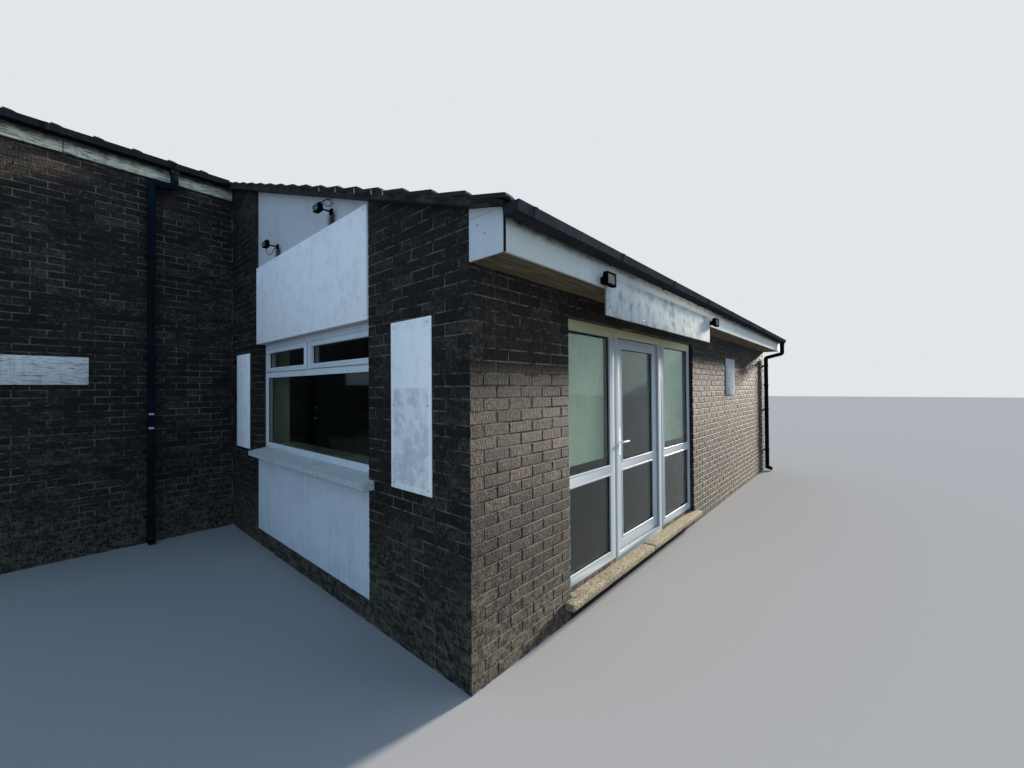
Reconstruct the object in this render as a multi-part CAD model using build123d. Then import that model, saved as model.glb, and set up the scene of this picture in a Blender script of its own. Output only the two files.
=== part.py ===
from build123d import *
import math
import os

# Corner shop building, in millimetres, with +Z up.
# While it is drawn, X runs along the shop front from the near outer corner,
# Y runs from the shop front into the building, and Z is height above ground.
# On export everything is moved so that the origin lies on the ground
# below the middle of the shop wing.

# Brickwork module
brick_length = 225
mortar_joint = 10
wall_thickness = 270

# Plan
shop_front_brick_count = 37
shop_side_brick_count = 20
main_side_brick_count = 24
main_left_brick_count = 12
shop_length = shop_front_brick_count * brick_length - mortar_joint
shop_depth = shop_side_brick_count * brick_length - mortar_joint
main_depth = main_side_brick_count * brick_length - mortar_joint
main_left = main_left_brick_count * brick_length
building_depth = shop_depth + main_depth

# Roof
roof_slope = 0.354
wall_top_at_front = 2735
roof_bed_depth = 50
tile_nose_depth = 33
tile_gauge = 315
verge_overhang = 60
nose_overhang = 30
left_nose_overhang = 55
ridge_tile_radius = 125
ridge_tile_wall = 18

# Box eave over the shop front
eave_depth = 262
fascia_thickness = 20
fascia_height = 240
soffit_above_fascia_foot = 5
soffit_thickness = 12
box_end_thickness = 12

# Fascia fixed to the face of the taller block
flush_fascia_thickness = 25
flush_fascia_height = 195
flush_fascia_roof_gap = 9
fascia_end_gap = 10

# Square section gutters and pipes
gutter_width = 115
gutter_depth = 54
gutter_wall = 4
gutter_taper = 8
gutter_drop = 10
gutter_end_overhang = 30
flush_gutter_drop = 2
stop_end_notch_depth = 22
stop_end_notch_reach = 89
bracket_spacing = 1000
bracket_first = 110
bracket_width = 26
bracket_thickness = 5
pipe_size = 65
pipe_wall = 3
pipe_wall_gap = 22
pipe_bend_radius = 40
outlet_size = 77
outlet_height = 50
outlet_wall = 8
clip_height = 32
clip_thickness = 5
clip_ear = 22
shoe_height = 90
shoe_heel_height = 40
shoe_toe_height = 11
shoe_reach = 55
shoe_mouth = 52
front_pipe_from_end = 75
left_pipe_centre = 800
left_outlet_centre = 600
rear_offset_fall = 47
pipe_below_fascia = 33
front_offset_drop = 47
front_offset_fall = 70
front_clip_heights = (2150, 1250, 420)
left_clip_heights = (3700, 3250, 2100, 1050, 300)
rear_clip_heights = (3700, 2100, 1050, 300)

# Floors
floor_top = 150

# Shop front opening and its step
opening_left = 1002
opening_width = 2800
opening_top = 2258
step_above_floor = 15
step_thickness = 50
step_projection = 77
step_end_left = 85
step_end_right = 60
frame_recess = 43
frame_depth = 60
left_light_width = 793
door_frame_width = 1075
light_stile = 90
outer_stile_left = 60
door_jamb = 75
top_rail = 90
bottom_rail = 118
mid_rail_bottom = 946
mid_rail_top = 1042
door_sill_height = 60
leaf_setback = 20
leaf_thickness = 60
leaf_clearance = 8
leaf_stile = 105
leaf_top_rail = 95
leaf_bottom_rail = 112
glass_thickness = 24
glass_bite = 10

# Door furniture
handle_height = 1222
handle_plate_width = 32
handle_plate_height = 240
handle_plate_thickness = 10
handle_stem_length = 45
lever_length = 115
lever_radius = 9
handle_plate_corner = 10
handle_bend_radius = 14
handle_inset = 38
hinge_knuckle_radius = 9
hinge_pin_radius = 5
hinge_pin_clearance = 0.3
hinge_height = 100
hinge_offset = 14
hinge_end_inset = 200
hinge_leaf_width = 34
hinge_leaf_thickness = 4
hinge_knuckle_gap = 0.6
hinge_web_start = 2.7
hinge_web_end = 11.7

# Gable bay with its window
bay_near = 1103
bay_far_pier = 963
plinth_height = 165
panel_setback = 8
window_recess = 80
window_frame_depth = 70
window_bottom = 1072
window_top = 2240
window_stile = 60
top_light_height = 258
window_transom_height = 62
mullion_from_near = 1248
window_mullion_width = 62
sash_section = 46
sash_proud = 12
sill_projection = 88
sill_fall = 27
sill_thickness = 52
sill_end_near = 85
sill_end_far = 25
drip_setback = 26
drip_depth = 8

# Boards and lamps
sign_thickness = 14
fascia_sign_left = 1040
fascia_sign_length = 2440
fascia_sign_height = 284
fascia_sign_drop = 196
gable_sign_roof_gap = 25
board_thickness = 6
faded_board_thickness = 12
board_height = 1122
specials_near = 343
specials_width = 447
specials_bottom = 1054
narrow_from_bay = 265
narrow_width = 488
narrow_bottom = 1034
plaque_left = 5340
plaque_width = 540
plaque_bottom = 1594
plaque_height = 571
faded_from_corner = 1290
faded_length = 900
faded_bottom = 1791
faded_height = 287
lamp_arm_reach = 80
lamp_body_width = 92
lamp_body_depth = 48
lamp_shoulder_height = 24
lamp_crown_height = 33
lamp_crown_reach = 24
lamp_brow_height = 16
lamp_chin_reach = 43
lamp_plate_size = 46
lamp_plate_thickness = 14
lamp_arm_radius = 7
lamp_fin_count = 5
lamp_fin_rise = 7
lamp_fin_thickness = 4
lamp_fin_foot = 20
lamp_fin_reach_near = 4
lamp_fin_reach_far = 28
lamp_near_centre = 1700
lamp_far_centre = 2922
lamp_near_drop = 119
lamp_far_drop = 559
fascia_lamp_width = 125
fascia_lamp_height = 92
fascia_lamp_depth = 50
fascia_lamp_arm = 15
fascia_lamp_chamfer = 18
fascia_lamp_before_sign = 40
fascia_lamp_after_sign = 80
fascia_lamp_rise = 38

# Worked out once and used throughout
slope_angle = math.atan(roof_slope)
ridge_y = shop_depth + main_depth / 2
opening_right = opening_left + opening_width
step_top = floor_top + step_above_floor
bay_far = shop_depth - bay_far_pier
sill_front_top = window_bottom - sill_fall
window_transom_bottom = window_top - window_stile - top_light_height - window_transom_height
window_mullion_centre = bay_near + mullion_from_near
frame_front = frame_recess
frame_back = frame_recess + frame_depth
fascia_front = -eave_depth - fascia_thickness
flush_fascia_front = shop_depth - flush_fascia_thickness
rear_fascia_front = building_depth + flush_fascia_thickness
right_outlet_x = shop_length - front_pipe_from_end


def roof_underside(y):
    """Height of the underside of the roof above a line at y."""
    distance = ridge_y - abs(y - ridge_y)
    return wall_top_at_front + roof_slope * distance


def block(x0, x1, y0, y1, z0, z1):
    """A box between two corners."""
    centre = Pos((x0 + x1) / 2, (y0 + y1) / 2, (z0 + z1) / 2)
    return centre * Box(x1 - x0, y1 - y0, z1 - z0)


def along_x(points, x0, x1):
    """A solid with an outline of (y, z) points, running from x0 to x1."""
    outline = Polygon(*[(y, z) for y, z in points], align=None)
    face = Plane.YZ.offset(x0) * outline
    return extrude(face, x1 - x0, dir=(1, 0, 0))


def along_y(points, y0, y1):
    """A solid with an outline of (x, z) points, running from y0 to y1."""
    outline = Polygon(*[(x, z) for x, z in points], align=None)
    plane = Plane(origin=(0, y0, 0), x_dir=(1, 0, 0), z_dir=(0, -1, 0))
    return extrude(plane * outline, y1 - y0, dir=(0, 1, 0))


def wall(x0, x1, y0, y1, z0=0):
    """A wall from z0 up to the underside of the roof."""
    points = [(y0, z0), (y1, z0), (y1, roof_underside(y1))]
    if y0 < ridge_y < y1:
        points.append((ridge_y, roof_underside(ridge_y)))
    points.append((y0, roof_underside(y0)))
    return along_x(points, x0, x1)


def on_slope(start_y, along, above):
    """The (y, z) place of a point measured along and above the front slope."""
    start_z = roof_underside(start_y)
    y = start_y + along * math.cos(slope_angle) - above * math.sin(slope_angle)
    z = start_z + along * math.sin(slope_angle) + above * math.cos(slope_angle)
    return (y, z)


def tile_steps(start_y, courses, last_length):
    """Stepped top outline of tile courses laid up the front slope.

    Each course rises from its own nose and dips under the nose of the next.
    """
    full = roof_bed_depth + tile_nose_depth
    points = []
    for number in range(courses):
        length = last_length if number == courses - 1 else tile_gauge
        nose = number * tile_gauge
        points.append(on_slope(start_y, nose, full))
        points.append(on_slope(start_y, nose + length, roof_bed_depth))
    return points


# Where the noses of the eave courses lie
front_nose_y = fascia_front - nose_overhang
left_nose_y = flush_fascia_front - left_nose_overhang
main_courses = math.ceil((ridge_y - left_nose_y) / math.cos(slope_angle) / tile_gauge)
shop_courses = math.ceil((left_nose_y - front_nose_y) / math.cos(slope_angle) / tile_gauge)
bed_rise = roof_bed_depth / math.cos(slope_angle)
eave_kick_height = on_slope(front_nose_y, 0, roof_bed_depth)[1]

# Heights that hang from the two eaves
fascia_bottom = eave_kick_height - fascia_height
soffit_height = fascia_bottom + soffit_above_fascia_foot
gutter_top = eave_kick_height - gutter_drop
flush_fascia_top = roof_underside(flush_fascia_front) + bed_rise - flush_fascia_roof_gap
flush_fascia_bottom = flush_fascia_top - flush_fascia_height
flush_gutter_top = flush_fascia_top - flush_gutter_drop


def roof_shop():
    """Roof over the shop wing, up to the eave line of the taller block."""
    run = (left_nose_y - front_nose_y) / math.cos(slope_angle)
    last = run - (shop_courses - 1) * tile_gauge
    points = [(0, roof_underside(0)), (-eave_depth, eave_kick_height)]
    nose_underside = on_slope(front_nose_y, 0, roof_bed_depth)
    points.append(nose_underside)
    points += tile_steps(front_nose_y, shop_courses, last)
    points.append((shop_depth, roof_underside(shop_depth) + bed_rise))
    points.append((shop_depth, roof_underside(shop_depth)))
    return along_x(points, -verge_overhang, shop_length + verge_overhang)


def main_slope_top():
    """Stepped top line of the main front slope, from its eave to the ridge."""
    run = (ridge_y - left_nose_y) / math.cos(slope_angle)
    last = run - (main_courses - 1) * tile_gauge
    points = tile_steps(left_nose_y, main_courses, last)[:-1]
    points.append((ridge_y, roof_underside(ridge_y) + bed_rise))
    return points


def mirrored(points):
    """The same outline on the other side of the ridge."""
    return [(2 * ridge_y - y, z) for y, z in reversed(points)]


def main_slope_outline():
    """Outline of the front slope of the taller block, from eave to ridge."""
    points = [(ridge_y, roof_underside(ridge_y))]
    points.append((shop_depth, roof_underside(shop_depth)))
    points.append((shop_depth, roof_underside(shop_depth) + bed_rise))
    points.append(on_slope(left_nose_y, 0, roof_bed_depth))
    return points + main_slope_top()


def roof_main_front():
    """Front slope of the taller block."""
    return along_x(main_slope_outline(), -main_left, shop_length + verge_overhang)


def roof_main_rear():
    """Rear slope of the taller block, the mirror of its front slope."""
    return along_x(mirrored(main_slope_outline()), -main_left, shop_length + verge_overhang)


def ridge_tiles():
    """Half round ridge capping, bedded down on the tiles of both slopes."""
    top = main_slope_top()
    centre = Pos(ridge_y, top[-1][1])
    ring = centre * Circle(ridge_tile_radius) - centre * Circle(ridge_tile_radius - ridge_tile_wall)
    near_ridge = [point for point in top if point[0] > ridge_y - 2 * tile_gauge]
    line = near_ridge + mirrored(near_ridge)[1:]
    floor = near_ridge[0][1] - 2 * ridge_tile_radius
    slopes = Polygon((line[0][0], floor), *line, (line[-1][0], floor), align=None)
    face = Plane.YZ.offset(-main_left) * (ring - slopes)
    return extrude(face, main_left + shop_length + verge_overhang, dir=(1, 0, 0))


def gutter_outline(back, top, facing):
    """Channel section of a gutter; facing is -1 towards -Y and 1 towards +Y."""
    width = facing * gutter_width
    taper = facing * gutter_taper
    skin = facing * gutter_wall
    bottom = top - gutter_depth
    outer = [(back, top), (back + taper, bottom), (back + width - taper, bottom), (back + width, top)]
    inner = [
        (back + width - skin, top),
        (back + width - taper - skin, bottom + gutter_wall),
        (back + taper + skin, bottom + gutter_wall),
        (back + skin, top),
    ]
    return outer, inner


def gutter(x0, x1, back, top, facing, outlet_x, first_bracket, notch_depth=0):
    """A square section gutter with stop ends, union brackets and an outlet.

    The stop ends are notched so deep where tile noses hang in the channel.
    """
    outer, inner = gutter_outline(back, top, facing)
    body = along_x(outer + inner, x0, x1)
    notch = sorted((back + facing * gutter_wall, back + facing * stop_end_notch_reach))
    for start in (x0, x1 - gutter_wall):
        stop_end = along_x(outer, start, start + gutter_wall)
        if notch_depth:
            stop_end -= block(start, start + gutter_wall, notch[0], notch[1], top - notch_depth, top)
        body += stop_end
    count = int((x1 - x0 - 2 * first_bracket) // bracket_spacing) + 1
    for number in range(count):
        centre = x0 + first_bracket + number * bracket_spacing
        body += bracket(centre, back, top, facing)
    middle = back + facing * gutter_width / 2
    bottom = top - gutter_depth
    half = outlet_size / 2
    body += block(outlet_x - half, outlet_x + half, middle - half, middle + half,
                  bottom - outlet_height, bottom + gutter_wall)
    inside = half - outlet_wall
    body -= block(outlet_x - inside, outlet_x + inside, middle - inside, middle + inside,
                  bottom - outlet_height, bottom + gutter_wall)
    return body


def bracket(centre, back, top, facing):
    """A strap that wraps the outside of the gutter and carries it."""
    outer, inner = gutter_outline(back, top, facing)
    low = top - gutter_depth
    wide = facing * bracket_thickness
    strap = [
        (back, top),
        (back, low - bracket_thickness),
        (outer[2][0] + wide, low - bracket_thickness),
        (outer[3][0] + wide, top),
        (outer[3][0], top),
        (outer[2][0], low),
        (outer[1][0], low),
    ]
    return along_x(strap, centre - bracket_width / 2, centre + bracket_width / 2)


def square_tube(path):
    """A hollow square pipe swept along a path of straight runs and bends."""
    start = Plane(origin=path @ 0, x_dir=(1, 0, 0), z_dir=path % 0)
    outer = sweep(start * Rectangle(pipe_size, pipe_size), path=path)
    inner_size = pipe_size - 2 * pipe_wall
    inner = sweep(start * Rectangle(inner_size, inner_size), path=path)
    return outer - inner


def shoe_outline(centre, facing, skin):
    """Outline of the shoe, drawn in by skin on all sides but its two mouths."""
    half = pipe_size / 2
    toe = centre + facing * (half + shoe_reach)
    return [
        (centre - facing * (half - skin), shoe_height),
        (centre - facing * (half - skin), shoe_heel_height + skin),
        (toe, shoe_toe_height + skin),
        (toe, shoe_toe_height + shoe_mouth - skin),
        (centre + facing * (half - skin), shoe_height),
    ]


def shoe(x, wall_y, facing):
    """Open ended shoe that throws water clear of the wall."""
    centre = wall_y + facing * (pipe_wall_gap + pipe_size / 2)
    half = pipe_size / 2
    body = along_x(shoe_outline(centre, facing, 0), x - half, x + half)
    return body - along_x(shoe_outline(centre, facing, pipe_wall), x - half + pipe_wall, x + half - pipe_wall)


def clip(x, wall_y, facing, height):
    """Pipe clip with two ears fixed to the wall face."""
    half = pipe_size / 2
    near = wall_y
    far = wall_y + facing * (pipe_wall_gap + pipe_size + clip_thickness)
    low = height - clip_height / 2
    high = height + clip_height / 2
    collar = block(x - half - clip_thickness, x + half + clip_thickness,
                   min(near, far), max(near, far), low, high)
    pipe_far = wall_y + facing * (pipe_wall_gap + pipe_size)
    collar -= block(x - half, x + half, min(near, pipe_far), max(near, pipe_far), low, high)
    for side in (-1, 1):
        ear_x = x + side * (half + clip_thickness + clip_ear / 2)
        ear_far = near + facing * clip_thickness
        collar += block(ear_x - clip_ear / 2, ear_x + clip_ear / 2,
                        min(near, ear_far), max(near, ear_far), low, high)
    return collar


def wall_pipe(x, wall_y, facing, top_path, clip_heights):
    """A downpipe: its upper bends, its shoe and its clips, as one piece."""
    body = square_tube(top_path)
    body += shoe(x, wall_y, facing)
    for height in clip_heights:
        body += clip(x, wall_y, facing, height)
    return body


def front_downpipe():
    """Pipe at the far end of the shop front, swept back under the soffit."""
    x = right_outlet_x
    outlet_y = fascia_front - gutter_width / 2
    wall_y = -(pipe_wall_gap + pipe_size / 2)
    top = gutter_top - gutter_depth - outlet_height
    turn = fascia_bottom - front_offset_drop
    points = [
        (x, outlet_y, top),
        (x, outlet_y, turn),
        (x, wall_y, turn - front_offset_fall),
        (x, wall_y, shoe_height),
    ]
    path = FilletPolyline(*points, radius=pipe_bend_radius)
    return wall_pipe(x, 0, -1, path, front_clip_heights)


def left_downpipe():
    """Pipe on the taller block, set across below its fascia."""
    x = -left_pipe_centre
    outlet_x = -left_outlet_centre
    outlet_y = flush_fascia_front - gutter_width / 2
    wall_y = shop_depth - pipe_wall_gap - pipe_size / 2
    top = flush_gutter_top - gutter_depth - outlet_height
    turn = flush_fascia_bottom - pipe_size / 2 - pipe_below_fascia
    points = [
        (outlet_x, outlet_y, top),
        (outlet_x, outlet_y, turn),
        (x, wall_y, turn),
        (x, wall_y, shoe_height),
    ]
    path = FilletPolyline(*points, radius=pipe_bend_radius)
    return wall_pipe(x, shop_depth, -1, path, left_clip_heights)


def rear_downpipe():
    """Pipe on the rear wall, the same as the one on the front of the block."""
    x = right_outlet_x
    outlet_y = rear_fascia_front + gutter_width / 2
    wall_y = building_depth + pipe_wall_gap + pipe_size / 2
    top = flush_gutter_top - gutter_depth - outlet_height
    turn = flush_fascia_bottom - pipe_size / 2 - pipe_below_fascia
    points = [
        (x, outlet_y, top),
        (x, outlet_y, turn),
        (x, wall_y, turn - rear_offset_fall),
        (x, wall_y, shoe_height),
    ]
    path = Polyline(*points)
    return wall_pipe(x, building_depth, 1, path, rear_clip_heights)


def framed_light(x0, x1, z0, z1, stiles, low_rail, high_rail, front, depth, bars=()):
    """A glazed frame with square openings between its two stiles, rails and bars."""
    body = block(x0, x1, front, front + depth, z0, z1)
    left, right = x0 + stiles[0], x1 - stiles[1]
    edges = [z0 + low_rail]
    for low, high in bars:
        edges += [low, high]
    edges.append(z1 - high_rail)
    for low, high in zip(edges[::2], edges[1::2]):
        body -= block(left, right, front, front + depth, low, high)
        groove = (front + depth / 2 - glass_thickness / 2, front + depth / 2 + glass_thickness / 2)
        body -= block(left - glass_bite, right + glass_bite, groove[0], groove[1],
                      low - glass_bite, high + glass_bite)
    return body


def panes(x0, x1, z0, z1, stiles, low_rail, high_rail, front, depth, bars=()):
    """The glass that fits the grooves of a framed light."""
    left, right = x0 + stiles[0], x1 - stiles[1]
    edges = [z0 + low_rail]
    for low, high in bars:
        edges += [low, high]
    edges.append(z1 - high_rail)
    middle = front + depth / 2
    half = glass_thickness / 2
    sheets = []
    for low, high in zip(edges[::2], edges[1::2]):
        sheets.append(block(left - glass_bite, right + glass_bite,
                            middle - half, middle + half, low - glass_bite, high + glass_bite))
    return sheets


# Shop front pieces, left to right
door_left = opening_left + left_light_width
door_right = door_left + door_frame_width
mid_bars = [(mid_rail_bottom, mid_rail_top)]
leaf_x0 = door_left + door_jamb + leaf_clearance
leaf_x1 = door_right - door_jamb - leaf_clearance
leaf_z0 = step_top + door_sill_height + leaf_clearance
leaf_z1 = opening_top - door_jamb - leaf_clearance
leaf_front = frame_front + leaf_setback
leaf_back = leaf_front + leaf_thickness

left_light = (opening_left, door_left, step_top, opening_top,
              (outer_stile_left, light_stile), bottom_rail, top_rail, frame_front, frame_depth, mid_bars)
right_light = (door_right, opening_right, step_top, opening_top,
               (light_stile, light_stile), bottom_rail, top_rail, frame_front, frame_depth, mid_bars)
leaf = (leaf_x0, leaf_x1, leaf_z0, leaf_z1,
        (leaf_stile, leaf_stile), leaf_bottom_rail, leaf_top_rail, leaf_front, leaf_thickness, mid_bars)


def door_frame():
    """Jambs, head and low sill around the door leaf."""
    body = block(door_left, door_right, frame_front, frame_back, step_top, opening_top)
    body -= block(door_left + door_jamb, door_right - door_jamb, frame_front, frame_back,
                  step_top + door_sill_height, opening_top - door_jamb)
    return body


# The hinge axis stands off the inner face of the leaf, at its far stile
hinge_x = leaf_x1 + leaf_clearance / 2
hinge_y = leaf_back + hinge_offset
hinge_levels = [leaf_z0 + hinge_end_inset, (leaf_z0 + leaf_z1) / 2, leaf_z1 - hinge_end_inset]


def hinge_frame_leaves():
    """Frame side of the hinges: a leaf, two outer knuckles and the pin."""
    body = Part()
    third = hinge_height / 3
    height = third - hinge_knuckle_gap
    for level in hinge_levels:
        for middle in (level - third, level + third):
            low = middle - height / 2
            high = middle + height / 2
            body += Pos(hinge_x, hinge_y, middle) * Cylinder(hinge_knuckle_radius, height)
            body += block(hinge_x, hinge_x + hinge_leaf_width,
                          frame_back, frame_back + hinge_leaf_thickness, low, high)
            body += block(hinge_x + hinge_web_start, hinge_x + hinge_web_end, frame_back, hinge_y, low, high)
        body += Pos(hinge_x, hinge_y, level) * Cylinder(hinge_pin_radius, hinge_height - hinge_knuckle_gap)
    return body


def hinge_door_leaves():
    """Door side of the hinges: a leaf on the inner face and a middle knuckle."""
    body = Part()
    height = hinge_height / 3 - hinge_knuckle_gap
    for level in hinge_levels:
        low = level - height / 2
        high = level + height / 2
        piece = Pos(hinge_x, hinge_y, level) * Cylinder(hinge_knuckle_radius, height)
        piece += block(hinge_x - hinge_web_end, hinge_x - hinge_web_start, leaf_back, hinge_y, low, high)
        piece += block(hinge_x - hinge_leaf_width, hinge_x - hinge_web_start,
                       leaf_back, leaf_back + hinge_leaf_thickness, low, high)
        piece -= Pos(hinge_x, hinge_y, level) * Cylinder(hinge_pin_radius + hinge_pin_clearance, height)
        body += piece
    return body


def door_handle():
    """Lever handles and plates on both faces of the door, on one spindle."""
    x = leaf_x0 + handle_inset
    half_w = handle_plate_width / 2
    half_h = handle_plate_height / 2
    body = Part()
    for face, facing in ((leaf_front, -1), (leaf_back, 1)):
        outer = face + facing * handle_plate_thickness
        plate = block(x - half_w, x + half_w, min(face, outer), max(face, outer),
                      handle_height - half_h, handle_height + half_h)
        plate = fillet(plate.edges().filter_by(Axis.Y), handle_plate_corner)
        end = face + facing * handle_stem_length
        route = FilletPolyline(
            (x, face, handle_height),
            (x, end, handle_height),
            (x + lever_length, end, handle_height),
            radius=handle_bend_radius,
        )
        section = Plane(origin=route @ 0, z_dir=route % 0) * Circle(lever_radius)
        body += plate + sweep(section, path=route)
    return body


# Gable bay pieces
window_back = window_recess + window_frame_depth


def gable_frame():
    """Window frame with a transom and a mullion between two top lights."""
    body = block(window_recess, window_back, bay_near, bay_far, window_bottom, window_top)
    low = window_bottom + window_stile
    high = window_top - window_stile
    body -= block(window_recess, window_back, bay_near + window_stile, bay_far - window_stile,
                  low, window_transom_bottom)
    transom_top = window_transom_bottom + window_transom_height
    half = window_mullion_width / 2
    for y0, y1 in ((bay_near + window_stile, window_mullion_centre - half),
                   (window_mullion_centre + half, bay_far - window_stile)):
        body -= block(window_recess, window_back, y0, y1, transom_top, high)
    return body


def sash_openings():
    """The two top light openings as (y0, y1, z0, z1)."""
    low = window_transom_bottom + window_transom_height
    high = window_top - window_stile
    half = window_mullion_width / 2
    return [
        (bay_near + window_stile, window_mullion_centre - half, low, high),
        (window_mullion_centre + half, bay_far - window_stile, low, high),
    ]


def window_sashes():
    """Top hung sashes that stand a little proud of the frame."""
    sashes = []
    for y0, y1, z0, z1 in sash_openings():
        front = window_recess - sash_proud
        sash = block(front, window_back - sash_proud, y0, y1, z0, z1)
        sash -= block(front, window_back - sash_proud, y0 + sash_section, y1 - sash_section,
                      z0 + sash_section, z1 - sash_section)
        sashes.append(sash)
    return sashes


def window_glass():
    """Three panes: one large, and one in each top light."""
    middle = (window_recess + window_back) / 2
    half = glass_thickness / 2
    sheets = [block(middle - half, middle + half, bay_near + window_stile, bay_far - window_stile,
                    window_bottom + window_stile, window_transom_bottom)]
    for y0, y1, z0, z1 in sash_openings():
        sheets.append(block(middle - half, middle + half, y0 + sash_section, y1 - sash_section,
                            z0 + sash_section, z1 - sash_section))
    return sheets


def window_sill():
    """Weathered concrete sill, with a slope on top and a drip groove."""
    outer = -sill_projection
    back = window_back
    groove = outer + drip_setback
    points = [
        (outer, sill_front_top - sill_thickness),
        (groove, sill_front_top - sill_thickness),
        (groove, sill_front_top - sill_thickness + drip_depth),
        (groove + drip_depth, sill_front_top - sill_thickness + drip_depth),
        (groove + drip_depth, sill_front_top - sill_thickness),
        (back, sill_front_top - sill_thickness),
        (back, window_bottom),
        (window_recess, window_bottom),
        (outer, sill_front_top),
    ]
    body = along_y(points, bay_near, bay_far)
    fall = (window_bottom - sill_front_top) / (sill_projection + window_recess)
    horn = [
        (outer, sill_front_top - sill_thickness),
        (0, sill_front_top - sill_thickness),
        (0, sill_front_top + fall * sill_projection),
        (outer, sill_front_top),
    ]
    body += along_y(horn, bay_near - sill_end_near, bay_near)
    body += along_y(horn, bay_far, bay_far + sill_end_far)
    return body


def sign_board(face_axis, at, low, high, z0, z1, thickness):
    """A flat board standing off a wall face towards the outside."""
    if face_axis == "front":
        return block(low, high, at - thickness, at, z0, z1)
    return block(at - thickness, at, low, high, z0, z1)


def gable_lamp(centre_y, drop):
    """Halogen floodlight on a bracket arm, so far below the roof at its place."""
    centre_z = roof_underside(centre_y) - drop
    plate = block(-lamp_plate_thickness + panel_setback, panel_setback, centre_y - lamp_plate_size / 2,
                  centre_y + lamp_plate_size / 2, centre_z - lamp_plate_size / 2,
                  centre_z + lamp_plate_size / 2)
    arm_start = panel_setback - lamp_plate_thickness
    arm_centre = arm_start - lamp_arm_reach / 2
    arm = Pos(arm_centre, centre_y, centre_z) * Rot(0, 90, 0) * Cylinder(lamp_arm_radius, lamp_arm_reach)
    body_x = arm_start - lamp_arm_reach
    half_w = lamp_body_width / 2
    housing = [
        (body_x, centre_z + lamp_shoulder_height),
        (body_x - lamp_crown_reach, centre_z + lamp_crown_height),
        (body_x - lamp_body_depth, centre_z + lamp_brow_height),
        (body_x - lamp_chin_reach, centre_z - lamp_crown_height),
        (body_x, centre_z - lamp_crown_height),
    ]
    body = along_y(housing, centre_y - half_w, centre_y + half_w)
    pitch = lamp_body_width / (lamp_fin_count + 1)
    for number in range(lamp_fin_count):
        y = centre_y - half_w + pitch * (number + 1)
        body += block(body_x - lamp_fin_reach_far, body_x - lamp_fin_reach_near,
                      y - lamp_fin_thickness / 2, y + lamp_fin_thickness / 2,
                      centre_z + lamp_fin_foot, centre_z + lamp_crown_height + lamp_fin_rise)
    return plate + arm + body


def fascia_lamp(centre_x):
    """Square floodlight hung on the face of the front fascia."""
    z = fascia_bottom + fascia_lamp_rise
    plate = block(centre_x - lamp_plate_size / 2, centre_x + lamp_plate_size / 2,
                  fascia_front - lamp_plate_thickness, fascia_front,
                  z - lamp_plate_size / 2, z + lamp_plate_size / 2)
    arm_y = fascia_front - lamp_plate_thickness - fascia_lamp_arm / 2
    arm = Pos(centre_x, arm_y, z) * Rot(90, 0, 0) * Cylinder(lamp_arm_radius, fascia_lamp_arm)
    body_y = fascia_front - lamp_plate_thickness - fascia_lamp_arm
    body = block(centre_x - fascia_lamp_width / 2, centre_x + fascia_lamp_width / 2,
                 body_y - fascia_lamp_depth, body_y,
                 z - fascia_lamp_height / 2, z + fascia_lamp_height / 2)
    body = chamfer(body.edges().group_by(Axis.Y)[-1], fascia_lamp_chamfer)
    return plate + arm + body


nodes = {}

# Floors
nodes["floor_slab_shop"] = block(wall_thickness, shop_length - wall_thickness,
                                 wall_thickness, shop_depth + wall_thickness, 0, floor_top)
nodes["floor_slab_main"] = block(wall_thickness - main_left, shop_length - wall_thickness,
                                 shop_depth + wall_thickness, building_depth - wall_thickness, 0, floor_top)

# Shop front walls
nodes["front_wall_left"] = wall(0, opening_left, 0, wall_thickness)
nodes["front_wall_right"] = wall(opening_right, shop_length, 0, wall_thickness)
nodes["front_wall_over_shopfront"] = wall(opening_left, opening_right, 0, wall_thickness, opening_top)
nodes["front_wall_under_shopfront"] = block(opening_left, opening_right, 0, wall_thickness,
                                            0, step_top - step_thickness)
step = block(opening_left, opening_right, 0, wall_thickness, step_top - step_thickness, step_top)
step += block(opening_left - step_end_left, opening_right + step_end_right, -step_projection, 0,
              step_top - step_thickness, step_top)
nodes["threshold_step"] = step

# Gable with its bay
nodes["gable_wall_corner"] = wall(0, wall_thickness, wall_thickness, bay_near)
nodes["gable_wall_inner"] = wall(0, wall_thickness, bay_far, shop_depth)
nodes["gable_plinth"] = block(0, wall_thickness, bay_near, bay_far, 0, plinth_height)
nodes["gable_panel_lower"] = block(panel_setback, wall_thickness, bay_near, bay_far,
                                   plinth_height, sill_front_top - sill_thickness)
nodes["gable_panel_upper"] = wall(panel_setback, wall_thickness, bay_near, bay_far, window_top)
nodes["window_sill"] = window_sill()

# Walls of the taller block
nodes["left_front_wall"] = wall(-main_left, wall_thickness, shop_depth, shop_depth + wall_thickness)
nodes["left_party_wall"] = wall(-main_left, wall_thickness - main_left,
                                shop_depth + wall_thickness, building_depth - wall_thickness)
nodes["rear_wall"] = wall(-main_left, shop_length, building_depth - wall_thickness, building_depth)
nodes["right_gable_wall"] = wall(shop_length - wall_thickness, shop_length,
                                 wall_thickness, building_depth - wall_thickness)

# Roof
nodes["roof_shop"] = roof_shop()
nodes["roof_main_front"] = roof_main_front()
nodes["roof_main_rear"] = roof_main_rear()
nodes["ridge_tiles"] = ridge_tiles()

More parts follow.
